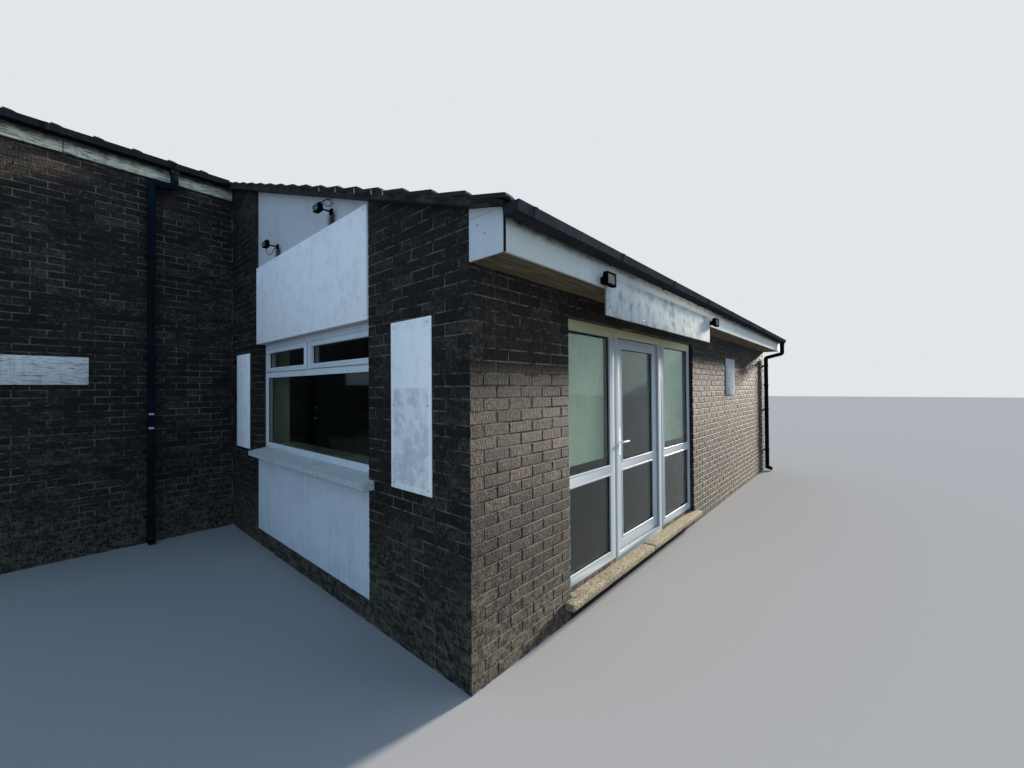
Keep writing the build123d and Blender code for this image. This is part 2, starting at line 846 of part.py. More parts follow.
# Box eave
nodes["front_fascia"] = block(0, shop_length, fascia_front, -eave_depth, fascia_bottom, eave_kick_height)
nodes["front_soffit"] = block(box_end_thickness, shop_length - box_end_thickness, -eave_depth, 0,
                              soffit_height, soffit_height + soffit_thickness)
box_end = [(0, soffit_height), (-eave_depth, soffit_height),
           (-eave_depth, eave_kick_height), (0, roof_underside(0))]
nodes["eave_box_ends"] = [
    along_x(box_end, 0, box_end_thickness),
    along_x(box_end, shop_length - box_end_thickness, shop_length),
]
nodes["front_gutter"] = gutter(-gutter_end_overhang, shop_length + gutter_end_overhang, fascia_front,
                               gutter_top, -1, right_outlet_x, bracket_first + gutter_end_overhang)
nodes["front_downpipe"] = front_downpipe()

# Eaves of the taller block
left_fascia = block(-main_left, -verge_overhang, flush_fascia_front, shop_depth,
                    flush_fascia_bottom, flush_fascia_top)
left_fascia += block(-verge_overhang, -fascia_end_gap, flush_fascia_front, shop_depth,
                     flush_fascia_bottom, roof_underside(flush_fascia_front))
nodes["left_fascia"] = left_fascia
nodes["left_gutter"] = gutter(-main_left, -verge_overhang - fascia_end_gap, flush_fascia_front,
                              flush_gutter_top, -1, -left_outlet_centre, bracket_first, stop_end_notch_depth)
nodes["left_downpipe"] = left_downpipe()
nodes["rear_fascia"] = block(-main_left, shop_length, building_depth, rear_fascia_front,
                             flush_fascia_bottom, flush_fascia_top)
nodes["rear_gutter"] = gutter(-main_left, shop_length + gutter_end_overhang, rear_fascia_front,
                              flush_gutter_top, 1, right_outlet_x, bracket_first, stop_end_notch_depth)
nodes["rear_downpipe"] = rear_downpipe()

# Boards
fascia_sign_bottom = fascia_bottom - fascia_sign_drop
nodes["fascia_sign"] = sign_board("front", fascia_front, fascia_sign_left,
                                  fascia_sign_left + fascia_sign_length, fascia_sign_bottom,
                                  fascia_sign_bottom + fascia_sign_height, sign_thickness)
nodes["gable_sign"] = sign_board("gable", panel_setback, bay_near, bay_far, window_top,
                                 roof_underside(bay_near) - gable_sign_roof_gap,
                                 sign_thickness + panel_setback)
nodes["specials_board"] = sign_board("gable", 0, specials_near, specials_near + specials_width,
                                     specials_bottom, specials_bottom + board_height, board_thickness)
narrow_near = bay_far + narrow_from_bay
nodes["narrow_board"] = sign_board("gable", 0, narrow_near, narrow_near + narrow_width,
                                   narrow_bottom, narrow_bottom + board_height, board_thickness)
nodes["wall_plaque"] = sign_board("front", 0, plaque_left, plaque_left + plaque_width,
                                  plaque_bottom, plaque_bottom + plaque_height, board_thickness)
nodes["faded_board"] = sign_board("front", shop_depth, -faded_from_corner - faded_length,
                                  -faded_from_corner, faded_bottom, faded_bottom + faded_height,
                                  faded_board_thickness)

# Lamps
nodes["gable_floodlights"] = [gable_lamp(lamp_near_centre, lamp_near_drop),
                              gable_lamp(lamp_far_centre, lamp_far_drop)]
nodes["fascia_floodlights"] = [
    fascia_lamp(fascia_sign_left - fascia_lamp_before_sign),
    fascia_lamp(fascia_sign_left + fascia_sign_length + fascia_lamp_after_sign),
]

# Gable window
nodes["window_frame"] = gable_frame()
nodes["window_sashes"] = window_sashes()
nodes["window_glass"] = window_glass()

# Shop front
nodes["shopfront_left_light"] = framed_light(*left_light)
nodes["shopfront_right_light"] = framed_light(*right_light)
nodes["shopfront_glass"] = panes(*left_light) + panes(*right_light)
nodes["door_frame"] = door_frame()
nodes["hinge_frame_leaves"] = hinge_frame_leaves()

# Door
nodes["door_leaf"] = framed_light(*leaf)
nodes["door_glass"] = panes(*leaf)
nodes["hinge_door_leaves"] = hinge_door_leaves()
nodes["door_handle"] = door_handle()

# Export, moved so that the origin lies under the middle of the shop wing
os.makedirs("parts", exist_ok=True)
to_origin = Pos(-shop_length / 2, -shop_depth / 2, 0)
for name, shape in nodes.items():
    solids = shape if isinstance(shape, list) else shape.solids()
    moved = [to_origin * solid for piece in solids for solid in piece.solids()]
    export_step(Compound(children=moved) if len(moved) > 1 else moved[0], f"parts/{name}.step")
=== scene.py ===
"""Looks of a corner shop building: brickwork, tiles, joinery, rainwater goods, boards and lamps.

Every length is in metres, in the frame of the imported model: X runs along the shop front,
Y runs from the shop front into the building, and Z is height above the ground.
"""
import logging
import math
import random
from contextlib import contextmanager
from dataclasses import dataclass, field
from enum import Enum
from typing import Callable, Iterator, Optional, Sequence, Union

import bmesh
import bpy
import numpy as np
from mathutils import Matrix, Vector


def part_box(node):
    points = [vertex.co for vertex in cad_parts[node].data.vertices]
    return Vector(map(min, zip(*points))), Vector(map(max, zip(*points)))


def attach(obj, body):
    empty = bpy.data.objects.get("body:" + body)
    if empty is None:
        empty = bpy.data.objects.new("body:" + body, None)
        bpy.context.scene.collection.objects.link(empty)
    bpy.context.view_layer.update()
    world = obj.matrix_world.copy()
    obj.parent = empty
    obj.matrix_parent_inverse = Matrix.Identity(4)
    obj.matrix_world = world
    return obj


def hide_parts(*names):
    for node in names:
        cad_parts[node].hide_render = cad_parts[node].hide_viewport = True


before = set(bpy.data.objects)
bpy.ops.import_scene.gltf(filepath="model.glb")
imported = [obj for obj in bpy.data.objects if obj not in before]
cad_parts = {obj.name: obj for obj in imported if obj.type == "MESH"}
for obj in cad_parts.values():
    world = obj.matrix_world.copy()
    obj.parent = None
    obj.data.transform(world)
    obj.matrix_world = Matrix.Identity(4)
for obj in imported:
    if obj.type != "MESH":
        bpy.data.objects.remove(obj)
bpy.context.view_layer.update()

logging.basicConfig(level=logging.INFO, format="%(message)s")
log = logging.getLogger("corner_shop")

Colour = tuple[float, float, float, float]
Place = Sequence[float]
Piece = bpy.types.Object

# Least part of a normal along an axis that counts as facing it.
SQUARE = 0.9
# Points of a node closer than this are one point.
MERGE = 1e-5
# Faces that turn less than this are one flat face.
FLAT_ANGLE = math.radians(1.0)
# Edges that turn more than this are rounded, and those below the next are shaded smooth.
BEVEL_ANGLE = math.radians(35.0)
SMOOTH_ANGLE = math.radians(28)


def srgb(red: float, green: float, blue: float) -> Colour:
    """Turn a screen colour, each part from 0 to 255, into a linear one."""
    def linear(part: float) -> float:
        """Undo the screen curve of one part."""
        share = part / 255
        return share / 12.92 if share <= 0.04045 else ((share + 0.055) / 1.055) ** 2.4
    return linear(red), linear(green), linear(blue), 1.0


class Body(Enum):
    """The bodies that a piece can ride on."""

    BUILDING = "building"
    DOOR = "door"


class Axis(Enum):
    """Directions of the frame, by their index."""

    X = 0
    Y = 1
    Z = 2

    def vector(self, length: float) -> Vector:
        """A vector of that length along the axis."""
        made = Vector((0.0, 0.0, 0.0))
        made[self.value] = length
        return made


class Value:
    """A node's output, for use in shader maths."""

    def __init__(self, graph: "Graph", socket: bpy.types.NodeSocket) -> None:
        """Wrap a socket of a graph."""
        self.graph = graph
        self.socket = socket

    def maths(self, operation: str, *others: "Operand") -> "Value":
        """Add a Math node with this value first."""
        return self.graph.maths(operation, self, *others)

    def __add__(self, other: "Operand") -> "Value":
        """Sum."""
        return self.maths("ADD", other)

    def __radd__(self, other: "Operand") -> "Value":
        """Sum, with the number first."""
        return self.maths("ADD", other)

    def __sub__(self, other: "Operand") -> "Value":
        """Difference."""
        return self.maths("SUBTRACT", other)

    def __rsub__(self, other: "Operand") -> "Value":
        """Difference, with the number first."""
        return self.graph.maths("SUBTRACT", other, self)

    def __mul__(self, other: "Operand") -> "Value":
        """Product."""
        return self.maths("MULTIPLY", other)

    def __rmul__(self, other: "Operand") -> "Value":
        """Product, with the number first."""
        return self.maths("MULTIPLY", other)

    def smooth(self, low: float, high: float) -> "Value":
        """Rise smoothly from 0 at low to 1 at high."""
        inputs = {"Value": self, "From Min": low, "From Max": high}
        return self.graph.node("ShaderNodeMapRange", {"interpolation_type": "SMOOTHSTEP"}, inputs)


Operand = Union[Value, float]


class Graph:
    """The node tree of a material or of the world."""

    def __init__(self, owner: Union[bpy.types.Material, bpy.types.World],
                 output: str = "ShaderNodeOutputMaterial") -> None:
        """Empty the owner's tree but for its output."""
        owner.use_nodes = True
        self.tree = owner.node_tree
        self.tree.nodes.clear()
        self.output = self.tree.nodes.new(output)

    def node(self, kind: str, settings: Optional[dict] = None, inputs: Optional[dict] = None,
             output: Union[int, str] = 0) -> Value:
        """Add a node of any kind.

        Args:
            kind: the node's type name.
            settings: its properties, and a ramp's stops under "stops", set first.
            inputs: values or links of its sockets, by name or index.
            output: the socket that is handed back.

        Returns:
            The chosen output.
        """
        made = self.tree.nodes.new(kind)
        for key, setting in (settings or {}).items():
            if key == "stops":
                self._set_stops(made.color_ramp, setting)
            else:
                setattr(made, key, setting)
        for key, given in (inputs or {}).items():
            if isinstance(given, Value):
                self.tree.links.new(given.socket, made.inputs[key])
            else:
                made.inputs[key].default_value = given
        return Value(self, made.outputs[output])

    @staticmethod
    def _set_stops(ramp: bpy.types.ColorRamp, stops: Sequence[tuple[float, Colour]]) -> None:
        """Give a colour ramp its stops."""
        while len(ramp.elements) < len(stops):
            ramp.elements.new(1.0)
        for element, (position, colour) in zip(ramp.elements, stops):
            element.position = position
            element.color = colour

    def maths(self, operation: str, *operands: Operand) -> Value:
        """Add a Math node on values and numbers."""
        return self.node("ShaderNodeMath", {"operation": operation}, dict(enumerate(operands)))

    def place(self, scale: Place = (1, 1, 1), shift: Place = (0, 0, 0)) -> Value:
        """Object coordinates in metres, scaled and shifted."""
        here = self.node("ShaderNodeTexCoord", output="Object")
        return self.node("ShaderNodeMapping", {}, {"Vector": here, "Scale": scale, "Location": shift})

    def part(self, axis: Axis) -> Value:
        """One of the Object coordinates."""
        here = self.node("ShaderNodeTexCoord", output="Object")
        return self.node("ShaderNodeSeparateXYZ", {}, {"Vector": here}, output=axis.value)

    def noise(self, scale: float, stretch: Place = (1, 1, 1), detail: float = 4.0,
              roughness: float = 0.55, shift: Place = (0, 0, 0)) -> Value:
        """Soft noise from 0 to 1, with so many lumps a metre."""
        inputs = {"Vector": self.place(stretch, shift), "Scale": scale, "Detail": detail,
                  "Roughness": roughness}
        return self.node("ShaderNodeTexNoise", {}, inputs)

    def cells(self, scale: float) -> Value:
        """Distance to the nearest of scattered points."""
        return self.node("ShaderNodeTexVoronoi", {}, {"Vector": self.place(), "Scale": scale})

    def attribute(self, name: str) -> Value:
        """A number that the mesh carries on its points."""
        return self.node("ShaderNodeAttribute", {"attribute_name": name}, output="Fac")

    def mix(self, share: Operand, first: Union[Value, Colour], second: Union[Value, Colour]) -> Value:
        """Blend two colours, from the first at 0 to the second at 1."""
        return self.node("ShaderNodeMix", {"data_type": "RGBA", "clamp_factor": True},
                         {0: share, 6: first, 7: second}, output=2)

    def ramp(self, share: Value, stops: Sequence[tuple[float, Colour]]) -> Value:
        """A colour that changes with a value."""
        return self.node("ShaderNodeValToRGB", {"stops": stops}, {"Fac": share})

    def surface(self, colour: Union[Value, Colour], roughness: Operand, height: Optional[Value] = None,
                depth: float = 0.001, specular: float = 0.5, **settings: Union[Value, float]) -> None:
        """Close the graph with a principled shader.

        Args:
            colour: base colour.
            roughness: roughness of the gloss.
            height: bump height from 0 to 1, if any.
            depth: metres between height 0 and 1.
            specular: level of the gloss.
            settings: other sockets, with underscores for the spaces of their names.
        """
        inputs = {"Base Color": colour, "Roughness": roughness, "Specular IOR Level": specular}
        if height is not None:
            bump = {"Height": height, "Distance": depth, "Strength": 1.0}
            inputs["Normal"] = self.node("ShaderNodeBump", {}, bump)
        for key, given in settings.items():
            inputs[key.replace("_", " ")] = given
        self.close(self.node("ShaderNodeBsdfPrincipled", {}, inputs))

    def close(self, shader: Value) -> None:
        """Link a shader to the output."""
        self.tree.links.new(shader.socket, self.output.inputs["Surface"])


@dataclass(frozen=True)
class Finish:
    """What every finish has: a name, and a way to paint its material."""

    name: str

    def material(self) -> bpy.types.Material:
        """The finish's material, made at its first use."""
        found = bpy.data.materials.get(self.name)
        if not found:
            found = bpy.data.materials.new(self.name)
            self.paint(Graph(found))
        return found

    def paint(self, graph: Graph) -> None:
        """Fill the graph of the finish."""
        raise NotImplementedError


@dataclass(frozen=True)
class RusticBrick(Finish):
    """Dark rustic facing brick with drag marks, pits, pale smears and low lichen."""

    dark: Colour = srgb(9, 10, 12)
    middle: Colour = srgb(23, 22, 22)
    pale: Colour = srgb(90, 78, 68)
    smear: Colour = srgb(124, 116, 106)
    lichen: Colour = srgb(104, 102, 82)

    def paint(self, graph: Graph) -> None:
        """Pits and drag marks in every brick, a little tone between bricks, then smears and lichen."""
        tone = graph.attribute("tone")
        pits = graph.noise(105.0, (1, 1, 0.8), detail=3.0, roughness=0.7)
        drag = graph.noise(62.0, (1, 1, 0.35), detail=4.0, roughness=0.6, shift=(4, 1, 0))
        blotch = graph.noise(17.0, (1, 1, 1.7), detail=4.0, roughness=0.6, shift=(0, 7, 2))
        cloud = graph.noise(1.3, detail=5.0)
        share = (tone - 0.5) * 0.26 + (pits - 0.5) * 1.15 + (drag - 0.5) * 0.5 + (blotch - 0.5) * 0.5
        stops = [(0.14, self.dark), (0.5, self.middle), (0.9, self.pale)]
        base = graph.ramp(share + cloud * 0.3 + 0.33, stops)
        smear = (blotch * 0.6 + cloud * 0.4).smooth(0.56, 0.68) * pits.smooth(0.36, 0.62)
        smeared = graph.mix(smear * 0.3, base, self.smear)
        low = 1 - graph.part(Axis.Z).smooth(0.02, 0.95)
        damp = low * (drag * 0.5 + blotch * 0.5).smooth(0.4, 0.6) * 0.5
        colour = graph.mix(damp, smeared, self.lichen)
        height = pits * 0.6 + drag * 0.55 + blotch * 0.25
        graph.surface(colour, 0.62 + pits * 0.2, height, 0.0105, specular=0.3)


@dataclass(frozen=True)
class Mortar(Finish):
    """Sandy mortar, dirty where it is deep and paler where it weathers."""

    colour: Colour
    dirt: Colour

    def paint(self, graph: Graph) -> None:
        """Grains of sand with patches of dirt."""
        sand = graph.noise(240.0, detail=3.0)
        patch = graph.noise(5.5, detail=5.0, roughness=0.62)
        near = graph.noise(24.0, detail=3.0, shift=(3, 3, 0))
        colour = graph.mix((patch * 0.6 + near * 0.4).smooth(0.42, 0.6), self.dirt, self.colour)
        speckled = graph.mix(sand.smooth(0.5, 0.7) * 0.35, colour, self.dirt)
        graph.surface(speckled, 0.93, sand * 0.5 + near * 0.8, 0.002, specular=0.25)


@dataclass(frozen=True)
class Concrete(Finish):
    """Cast concrete with grains, stains and growth."""

    colour: Colour
    stain: Colour
    growth: Colour
    growth_share: float = 0.4
    coarse: float = 120.0

    def paint(self, graph: Graph) -> None:
        """Stone grains, broad stains and patches of growth."""
        grains = graph.noise(self.coarse, detail=6.0, roughness=0.7)
        broad = graph.noise(3.2, detail=5.0, roughness=0.6)
        spots = graph.cells(self.coarse * 0.35)
        growth = graph.noise(16.0, detail=6.0, roughness=0.7, shift=(5, 2, 1)).smooth(0.5, 0.66)
        base = graph.mix(grains.smooth(0.34, 0.68), self.stain, self.colour)
        stained = graph.mix(broad.smooth(0.45, 0.75) * 0.55, base, self.stain)
        colour = graph.mix(growth * self.growth_share, stained, self.growth)
        pits = spots.smooth(0.05, 0.32)
        graph.surface(colour, 0.82 + grains * 0.12, grains * 0.6 + pits * 0.5, 0.0026, specular=0.08)


@dataclass(frozen=True)
class RoofTile(Finish):
    """Interlocking concrete tile, faded and lichened."""

    dark: Colour
    pale: Colour
    lichen: Colour

    def paint(self, graph: Graph) -> None:
        """Tone of each tile with sandy grain and lichen spots."""
        tone = graph.attribute("tone")
        grain = graph.noise(380.0, detail=3.0)
        cloud = graph.noise(1.1, detail=5.0)
        spots = graph.noise(34.0, detail=5.0, roughness=0.7).smooth(0.6, 0.7)
        base = graph.mix(tone * 0.5 + grain * 0.25 + cloud * 0.3, self.dark, self.pale)
        colour = graph.mix(spots * 0.55, base, self.lichen)
        graph.surface(colour, 0.86, grain * 0.7 + spots * 0.4, 0.0018, specular=0.3)


@dataclass(frozen=True)
class Paint(Finish):
    """Paint on boards: aged gloss with dirt runs, flaking, and a dark band below a gutter that is part dirt
    and part painted shadow of the gutter.
    """

    colour: Colour
    dirt: Colour
    runs: float = 0.3
    flaking: float = 0.0
    bare: Colour = srgb(70, 70, 64)
    # Colour and heights of the band under a gutter: dirt mixed with painted shadow of the gutter.
    gutter_shade_and_dirt: Colour = srgb(66, 68, 50)
    gutter_shade_foot: float = 90.0
    gutter_shade_head: float = 91.0
    gloss: float = 0.38

    def paint(self, graph: Graph) -> None:
        """Streaks down the face, clouds of dirt, bare patches and the band under the gutter, part dirt and
        part painted shadow.
        """
        streak = graph.noise(26.0, (1, 1, 0.07), detail=5.0, roughness=0.62)
        cloud = graph.noise(2.6, detail=5.0)
        fine = graph.noise(190.0, detail=3.0)
        ragged = graph.noise(13.0, (1, 1, 1.5), detail=6.0, roughness=0.7, shift=(2, 4, 6))
        soiled = graph.mix((streak * 0.5 + cloud * 0.5).smooth(0.5, 0.72) * self.runs, self.colour, self.dirt)
        flakes = graph.noise(64.0, (0.16, 0.16, 1), detail=8.0, roughness=0.74).smooth(0.47, 0.62)
        flaked = graph.mix(flakes * self.flaking, soiled, self.bare)
        # The band below the gutter is painted shadow mixed with dirt, with a ragged lower edge.
        edge = (self.gutter_shade_head - self.gutter_shade_foot) * 1.2
        gutter_shade_and_dirt = (graph.part(Axis.Z) + (ragged - 0.5) * edge).smooth(self.gutter_shade_foot, self.gutter_shade_head)
        colour = graph.mix(gutter_shade_and_dirt * (0.62 + ragged * 0.5), flaked, self.gutter_shade_and_dirt)
        height = fine * 0.25 + cloud * 0.2 + (1 - flakes * self.flaking) * 0.8
        graph.surface(colour, self.gloss + streak * 0.2, height, 0.0007, specular=0.04)


@dataclass(frozen=True)
class SoffitBoard(Finish):
    """Thin boards under the eave, weathered to a dull olive, with grain along the eave."""

    colour: Colour
    shade: Colour

    def paint(self, graph: Graph) -> None:
        """Long grain along the eave and broad water stains."""
        grain = graph.noise(75.0, (0.05, 1, 1), detail=5.0, roughness=0.6)
        stain = graph.noise(3.4, (1, 2.2, 1), detail=6.0, roughness=0.65)
        base = graph.mix(grain.smooth(0.38, 0.66), self.colour, self.shade)
        colour = graph.mix(stain.smooth(0.5, 0.72) * 0.5, base, self.shade)
        graph.surface(colour, 0.62, grain, 0.0006, specular=0.05)


@dataclass(frozen=True)
class Plastic(Finish):
    """Moulded plastic outdoors: a little chalky, dusty and scuffed."""

    colour: Colour
    dust: Colour
    dust_share: float = 0.3
    gloss: float = 0.34

    def paint(self, graph: Graph) -> None:
        """Runs and films of dust over a moulded skin."""
        runs = graph.noise(30.0, (1, 1, 0.1), detail=5.0)
        film = graph.noise(5.0, detail=5.0, shift=(1, 5, 2))
        fine = graph.noise(300.0, detail=2.0)
        dust = (runs * 0.55 + film * 0.45).smooth(0.45, 0.7) * self.dust_share
        colour = graph.mix(dust + fine.smooth(0.62, 0.8) * 0.08, self.colour, self.dust)
        graph.surface(colour, self.gloss + dust * 0.5, fine * 0.5 + film * 0.5, 0.0004, specular=0.0)


@dataclass(frozen=True)
class FrameWhite(Finish):
    """White window profile, with grime that gathers above a height and in a thin film."""

    # This default white, used by the shop front, is greyed as painted shade, darker than the window's white.
    colour: Colour = srgb(154, 163, 168)
    grime: Colour = srgb(116, 112, 84)
    grime_from: float = 9.0
    grime_to: float = 10.0

    def paint(self, graph: Graph) -> None:
        """Clean moulded white with a film and a dirty head."""
        film = graph.noise(11.0, (1, 1, 0.4), detail=6.0, roughness=0.65)
        fine = graph.noise(240.0, detail=2.0)
        head = graph.part(Axis.Z).smooth(self.grime_from, self.grime_to)
        base = graph.mix(film.smooth(0.5, 0.75) * 0.22, self.colour, self.grime)
        colour = graph.mix(head * (0.62 + film * 0.7), base, self.grime)
        graph.surface(colour, 0.24 + film * 0.16, fine * 0.4 + film * 0.6, 0.0003, specular=0.1)


@dataclass(frozen=True)
class RenderPanel(Finish):
    """Pale painted render panel with vertical streaks and stains below fixings."""

    colour: Colour = srgb(178, 186, 194)
    streak: Colour = srgb(112, 118, 120)
    stains: tuple[tuple[float, float], ...] = ()

    def paint(self, graph: Graph) -> None:
        """Fine texture, streaks that fall from the top and a dark run under each fixing."""
        fine = graph.noise(210.0, detail=4.0, roughness=0.7)
        streak = graph.noise(19.0, (1, 1, 0.05), detail=6.0, roughness=0.66)
        cloud = graph.noise(2.1, detail=5.0)
        low = 1 - graph.part(Axis.Z).smooth(0.16, 0.42)
        patch = graph.noise(6.5, detail=6.0, roughness=0.7, shift=(1, 2, 3))
        mask = (streak * 0.35 + cloud * 0.3 + patch * 0.35).smooth(0.46, 0.68)
        base = graph.mix(mask * 0.34 + low * patch * 0.35, self.colour, self.streak)
        across = graph.part(Axis.Y)
        height = graph.part(Axis.Z)
        stained = base
        for centre, top in self.stains:
            beside = 1 - (across - centre).maths("ABSOLUTE").smooth(0.02, 0.12)
            below = (top - height).smooth(-0.05, 0.01) * (1 - (top - height).smooth(0.25, 0.75))
            stained = graph.mix(beside * below * (0.5 + streak * 0.9), stained, srgb(40, 40, 36))
        graph.surface(stained, 0.7 + fine * 0.12, fine * 0.8 + cloud * 0.3, 0.0012, specular=0.35)


@dataclass(frozen=True)
class BoardFace(Finish):
    """Bare sign board: smooth white sheet, mottled by weather."""

    colour: Colour
    mottle: Colour
    share: float = 0.4
    gloss: float = 0.3
    patch: tuple[float, float, float, float] = (90.0, 91.0, 90.0, 91.0)

    def paint(self, graph: Graph) -> None:
        """Large soft mottles, faint runs, fine scratches and one faded patch."""
        mottle = graph.noise(9.0, detail=7.0, roughness=0.7)
        runs = graph.noise(34.0, (1, 1, 0.08), detail=4.0)
        scratch = graph.noise(160.0, (0.15, 0.15, 1), detail=2.0)
        mask = (mottle * 0.85 + runs * 0.15).smooth(0.45, 0.66) * self.share
        aged = graph.mix(mask + scratch.smooth(0.66, 0.75) * 0.1, self.colour, self.mottle)
        near, far, foot, head = self.patch
        across, up = graph.part(Axis.Y), graph.part(Axis.Z)
        inside = across.smooth(near, near + 0.01) * (1 - across.smooth(far - 0.01, far))
        inside = inside * up.smooth(foot, foot + 0.01) * (1 - up.smooth(head - 0.01, head))
        colour = graph.mix(inside * (0.14 + mottle.smooth(0.4, 0.6) * 0.3), aged, self.mottle)
        graph.surface(colour, self.gloss + mottle * 0.15, mottle * 0.6 + scratch * 0.3, 0.0004, specular=0.0)


@dataclass(frozen=True)
class ClearGlass(Finish):
    """Green tinted sheet glass."""

    tint: Colour = srgb(204, 220, 212)

    def paint(self, graph: Graph) -> None:
        """Clear sheet with the faintest ripple."""
        ripple = graph.noise(1.6, detail=1.0)
        film = graph.noise(14.0, detail=6.0, roughness=0.7)
        graph.surface(self.tint, 0.012 + film * 0.03, ripple, 0.0012, Transmission_Weight=1.0, IOR=1.45)


@dataclass(frozen=True)
class Metal(Finish):
    """Painted or plated metal with worn spots."""

    colour: Colour
    worn: Colour
    metallic: float = 0.0
    gloss: float = 0.35

    def paint(self, graph: Graph) -> None:
        """A cast skin with small worn spots."""
        skin = graph.noise(340.0, detail=3.0)
        worn = graph.noise(46.0, detail=6.0, roughness=0.7).smooth(0.58, 0.7)
        colour = graph.mix(worn * 0.5, self.colour, self.worn)
        graph.surface(colour, self.gloss + skin * 0.15, skin, 0.0004, Metallic=self.metallic, specular=0.0)


@dataclass(frozen=True)
class RustedSteel(Finish):
    """Dark steel plate with a stretch that has rusted through its paint."""

    colour: Colour
    rust: Colour
    rust_from: float
    rust_to: float

    def paint(self, graph: Graph) -> None:
        """Blistered rust between two places along X, and specks elsewhere."""
        blister = graph.noise(21.0, detail=7.0, roughness=0.72)
        fine = graph.noise(160.0, detail=3.0)
        along = graph.part(Axis.X)
        start = along.smooth(self.rust_from, self.rust_from + 0.12)
        stretch = start * (1 - along.smooth(self.rust_to - 0.3, self.rust_to))
        share = stretch * blister.smooth(0.38, 0.5) * 0.85 + blister.smooth(0.62, 0.7) * 0.4
        colour = graph.mix(share, self.colour, self.rust)
        graph.surface(colour, 0.75, blister * 0.7 + fine * 0.3, 0.0012)


@dataclass(frozen=True)
class Plaster(Finish):
    """Painted plaster, screed or boards inside the building."""

    colour: Colour
    shade: Colour

    def paint(self, graph: Graph) -> None:
        """Roller texture with faint clouds."""
        roller = graph.noise(180.0, detail=3.0)
        cloud = graph.noise(1.4, detail=4.0)
        colour = graph.mix(cloud.smooth(0.35, 0.7), self.colour, self.shade)
        graph.surface(colour, 0.75, roller, 0.0005)


@dataclass(frozen=True)
class StudioFloor(Finish):
    """Plain pale floor of the studio."""

    colour: Colour = srgb(136, 137, 138)

    def paint(self, graph: Graph) -> None:
        """One matt pale colour."""
        graph.surface(self.colour, 0.9, specular=0.0)


WALL_BRICK = RusticBrick("wall_brick")
WALL_MORTAR = Mortar("wall_mortar", srgb(104, 97, 88), srgb(36, 34, 33))
# Near black as painted shade: on the wall under the oversailing step, and on the fascia's ends, which are
# dark end grain in shade.
SHADE_AND_END_GRAIN = Mortar("painted_shade_and_end_grain", srgb(30, 28, 26), srgb(18, 17, 16))
TILE = RoofTile("roof_tile_finish", srgb(24, 23, 24), srgb(50, 46, 44), srgb(84, 84, 72))
VERGE_MORTAR = Mortar("verge_mortar", srgb(58, 54, 50), srgb(27, 25, 25))
# Both fascias darken in a band just under their gutter: dirt and painted shadow of the gutter, near black
# under the left gutter.
FASCIA_PAINT = Paint("fascia_paint", srgb(188, 194, 190), srgb(140, 140, 126), runs=0.25, gloss=0.5,
                     gutter_shade_foot=2.555, gutter_shade_head=2.612)
FLAKED_PAINT = Paint("flaked_paint", srgb(206, 207, 186), srgb(110, 112, 92), runs=0.9, flaking=0.88,
                     gutter_shade_and_dirt=srgb(26, 28, 24), gutter_shade_foot=4.226, gutter_shade_head=4.292, gloss=0.55)
END_PANEL = Paint("end_panel_paint", srgb(204, 210, 212), srgb(140, 146, 150), runs=0.18)
SOFFIT = SoffitBoard("soffit_board_finish", srgb(118, 110, 92), srgb(72, 66, 52))
# The front gutter is paler than the others: dust, and a painted sheen in place of its gloss.
FRONT_GUTTER_DUST_AND_SHEEN = Plastic("front_gutter_dust_and_sheen", srgb(42, 47, 51), srgb(84, 90, 92), 0.25, 0.46)
GUTTER = Plastic("gutter_plastic_finish", srgb(24, 29, 33), srgb(74, 80, 82), 0.12, 0.46)
PIPE = Plastic("pipe_plastic_finish", srgb(15, 25, 31), srgb(58, 70, 72), 0.12, 0.46)
DARK_PIPE = Plastic("dark_pipe_finish", srgb(19, 22, 25), srgb(74, 74, 70), 0.14, 0.46)
# The shop frames keep the greyed default white, which is painted shade.
SHOP_FRAME = FrameWhite("shop_frame_white", grime=srgb(180, 177, 140), grime_from=2.163, grime_to=2.182)
WINDOW_FRAME = FrameWhite("window_frame_white", srgb(212, 218, 220))
GASKET = Plastic("black_gasket", srgb(16, 18, 18), srgb(60, 62, 58), 0.15, 0.5)
GLASS = ClearGlass("green_glass")
FILM = BoardFace("pale_film", srgb(222, 232, 226), srgb(186, 200, 192), 0.5, 0.6)
SILL_CONCRETE = Concrete("sill_concrete", srgb(214, 216, 214), srgb(152, 156, 156), srgb(104, 110, 94),
                         growth_share=0.3, coarse=210.0)
STEP_CONCRETE = Concrete("step_concrete", srgb(168, 160, 137), srgb(72, 67, 54), srgb(128, 121, 84),
                         coarse=62.0)
SIGN_WHITE = BoardFace("sign_white", srgb(243, 246, 244), srgb(196, 203, 208), 0.35, 0.4)
PAINT_DAB = BoardFace("paint_dab", srgb(176, 184, 184), srgb(120, 126, 126), 0.6, 0.5)
SPECIALS_WHITE = BoardFace("specials_white", srgb(250, 250, 244), srgb(166, 174, 180), 0.3, 0.4,
                           patch=(-1.874, -1.483, 1.090, 1.734))
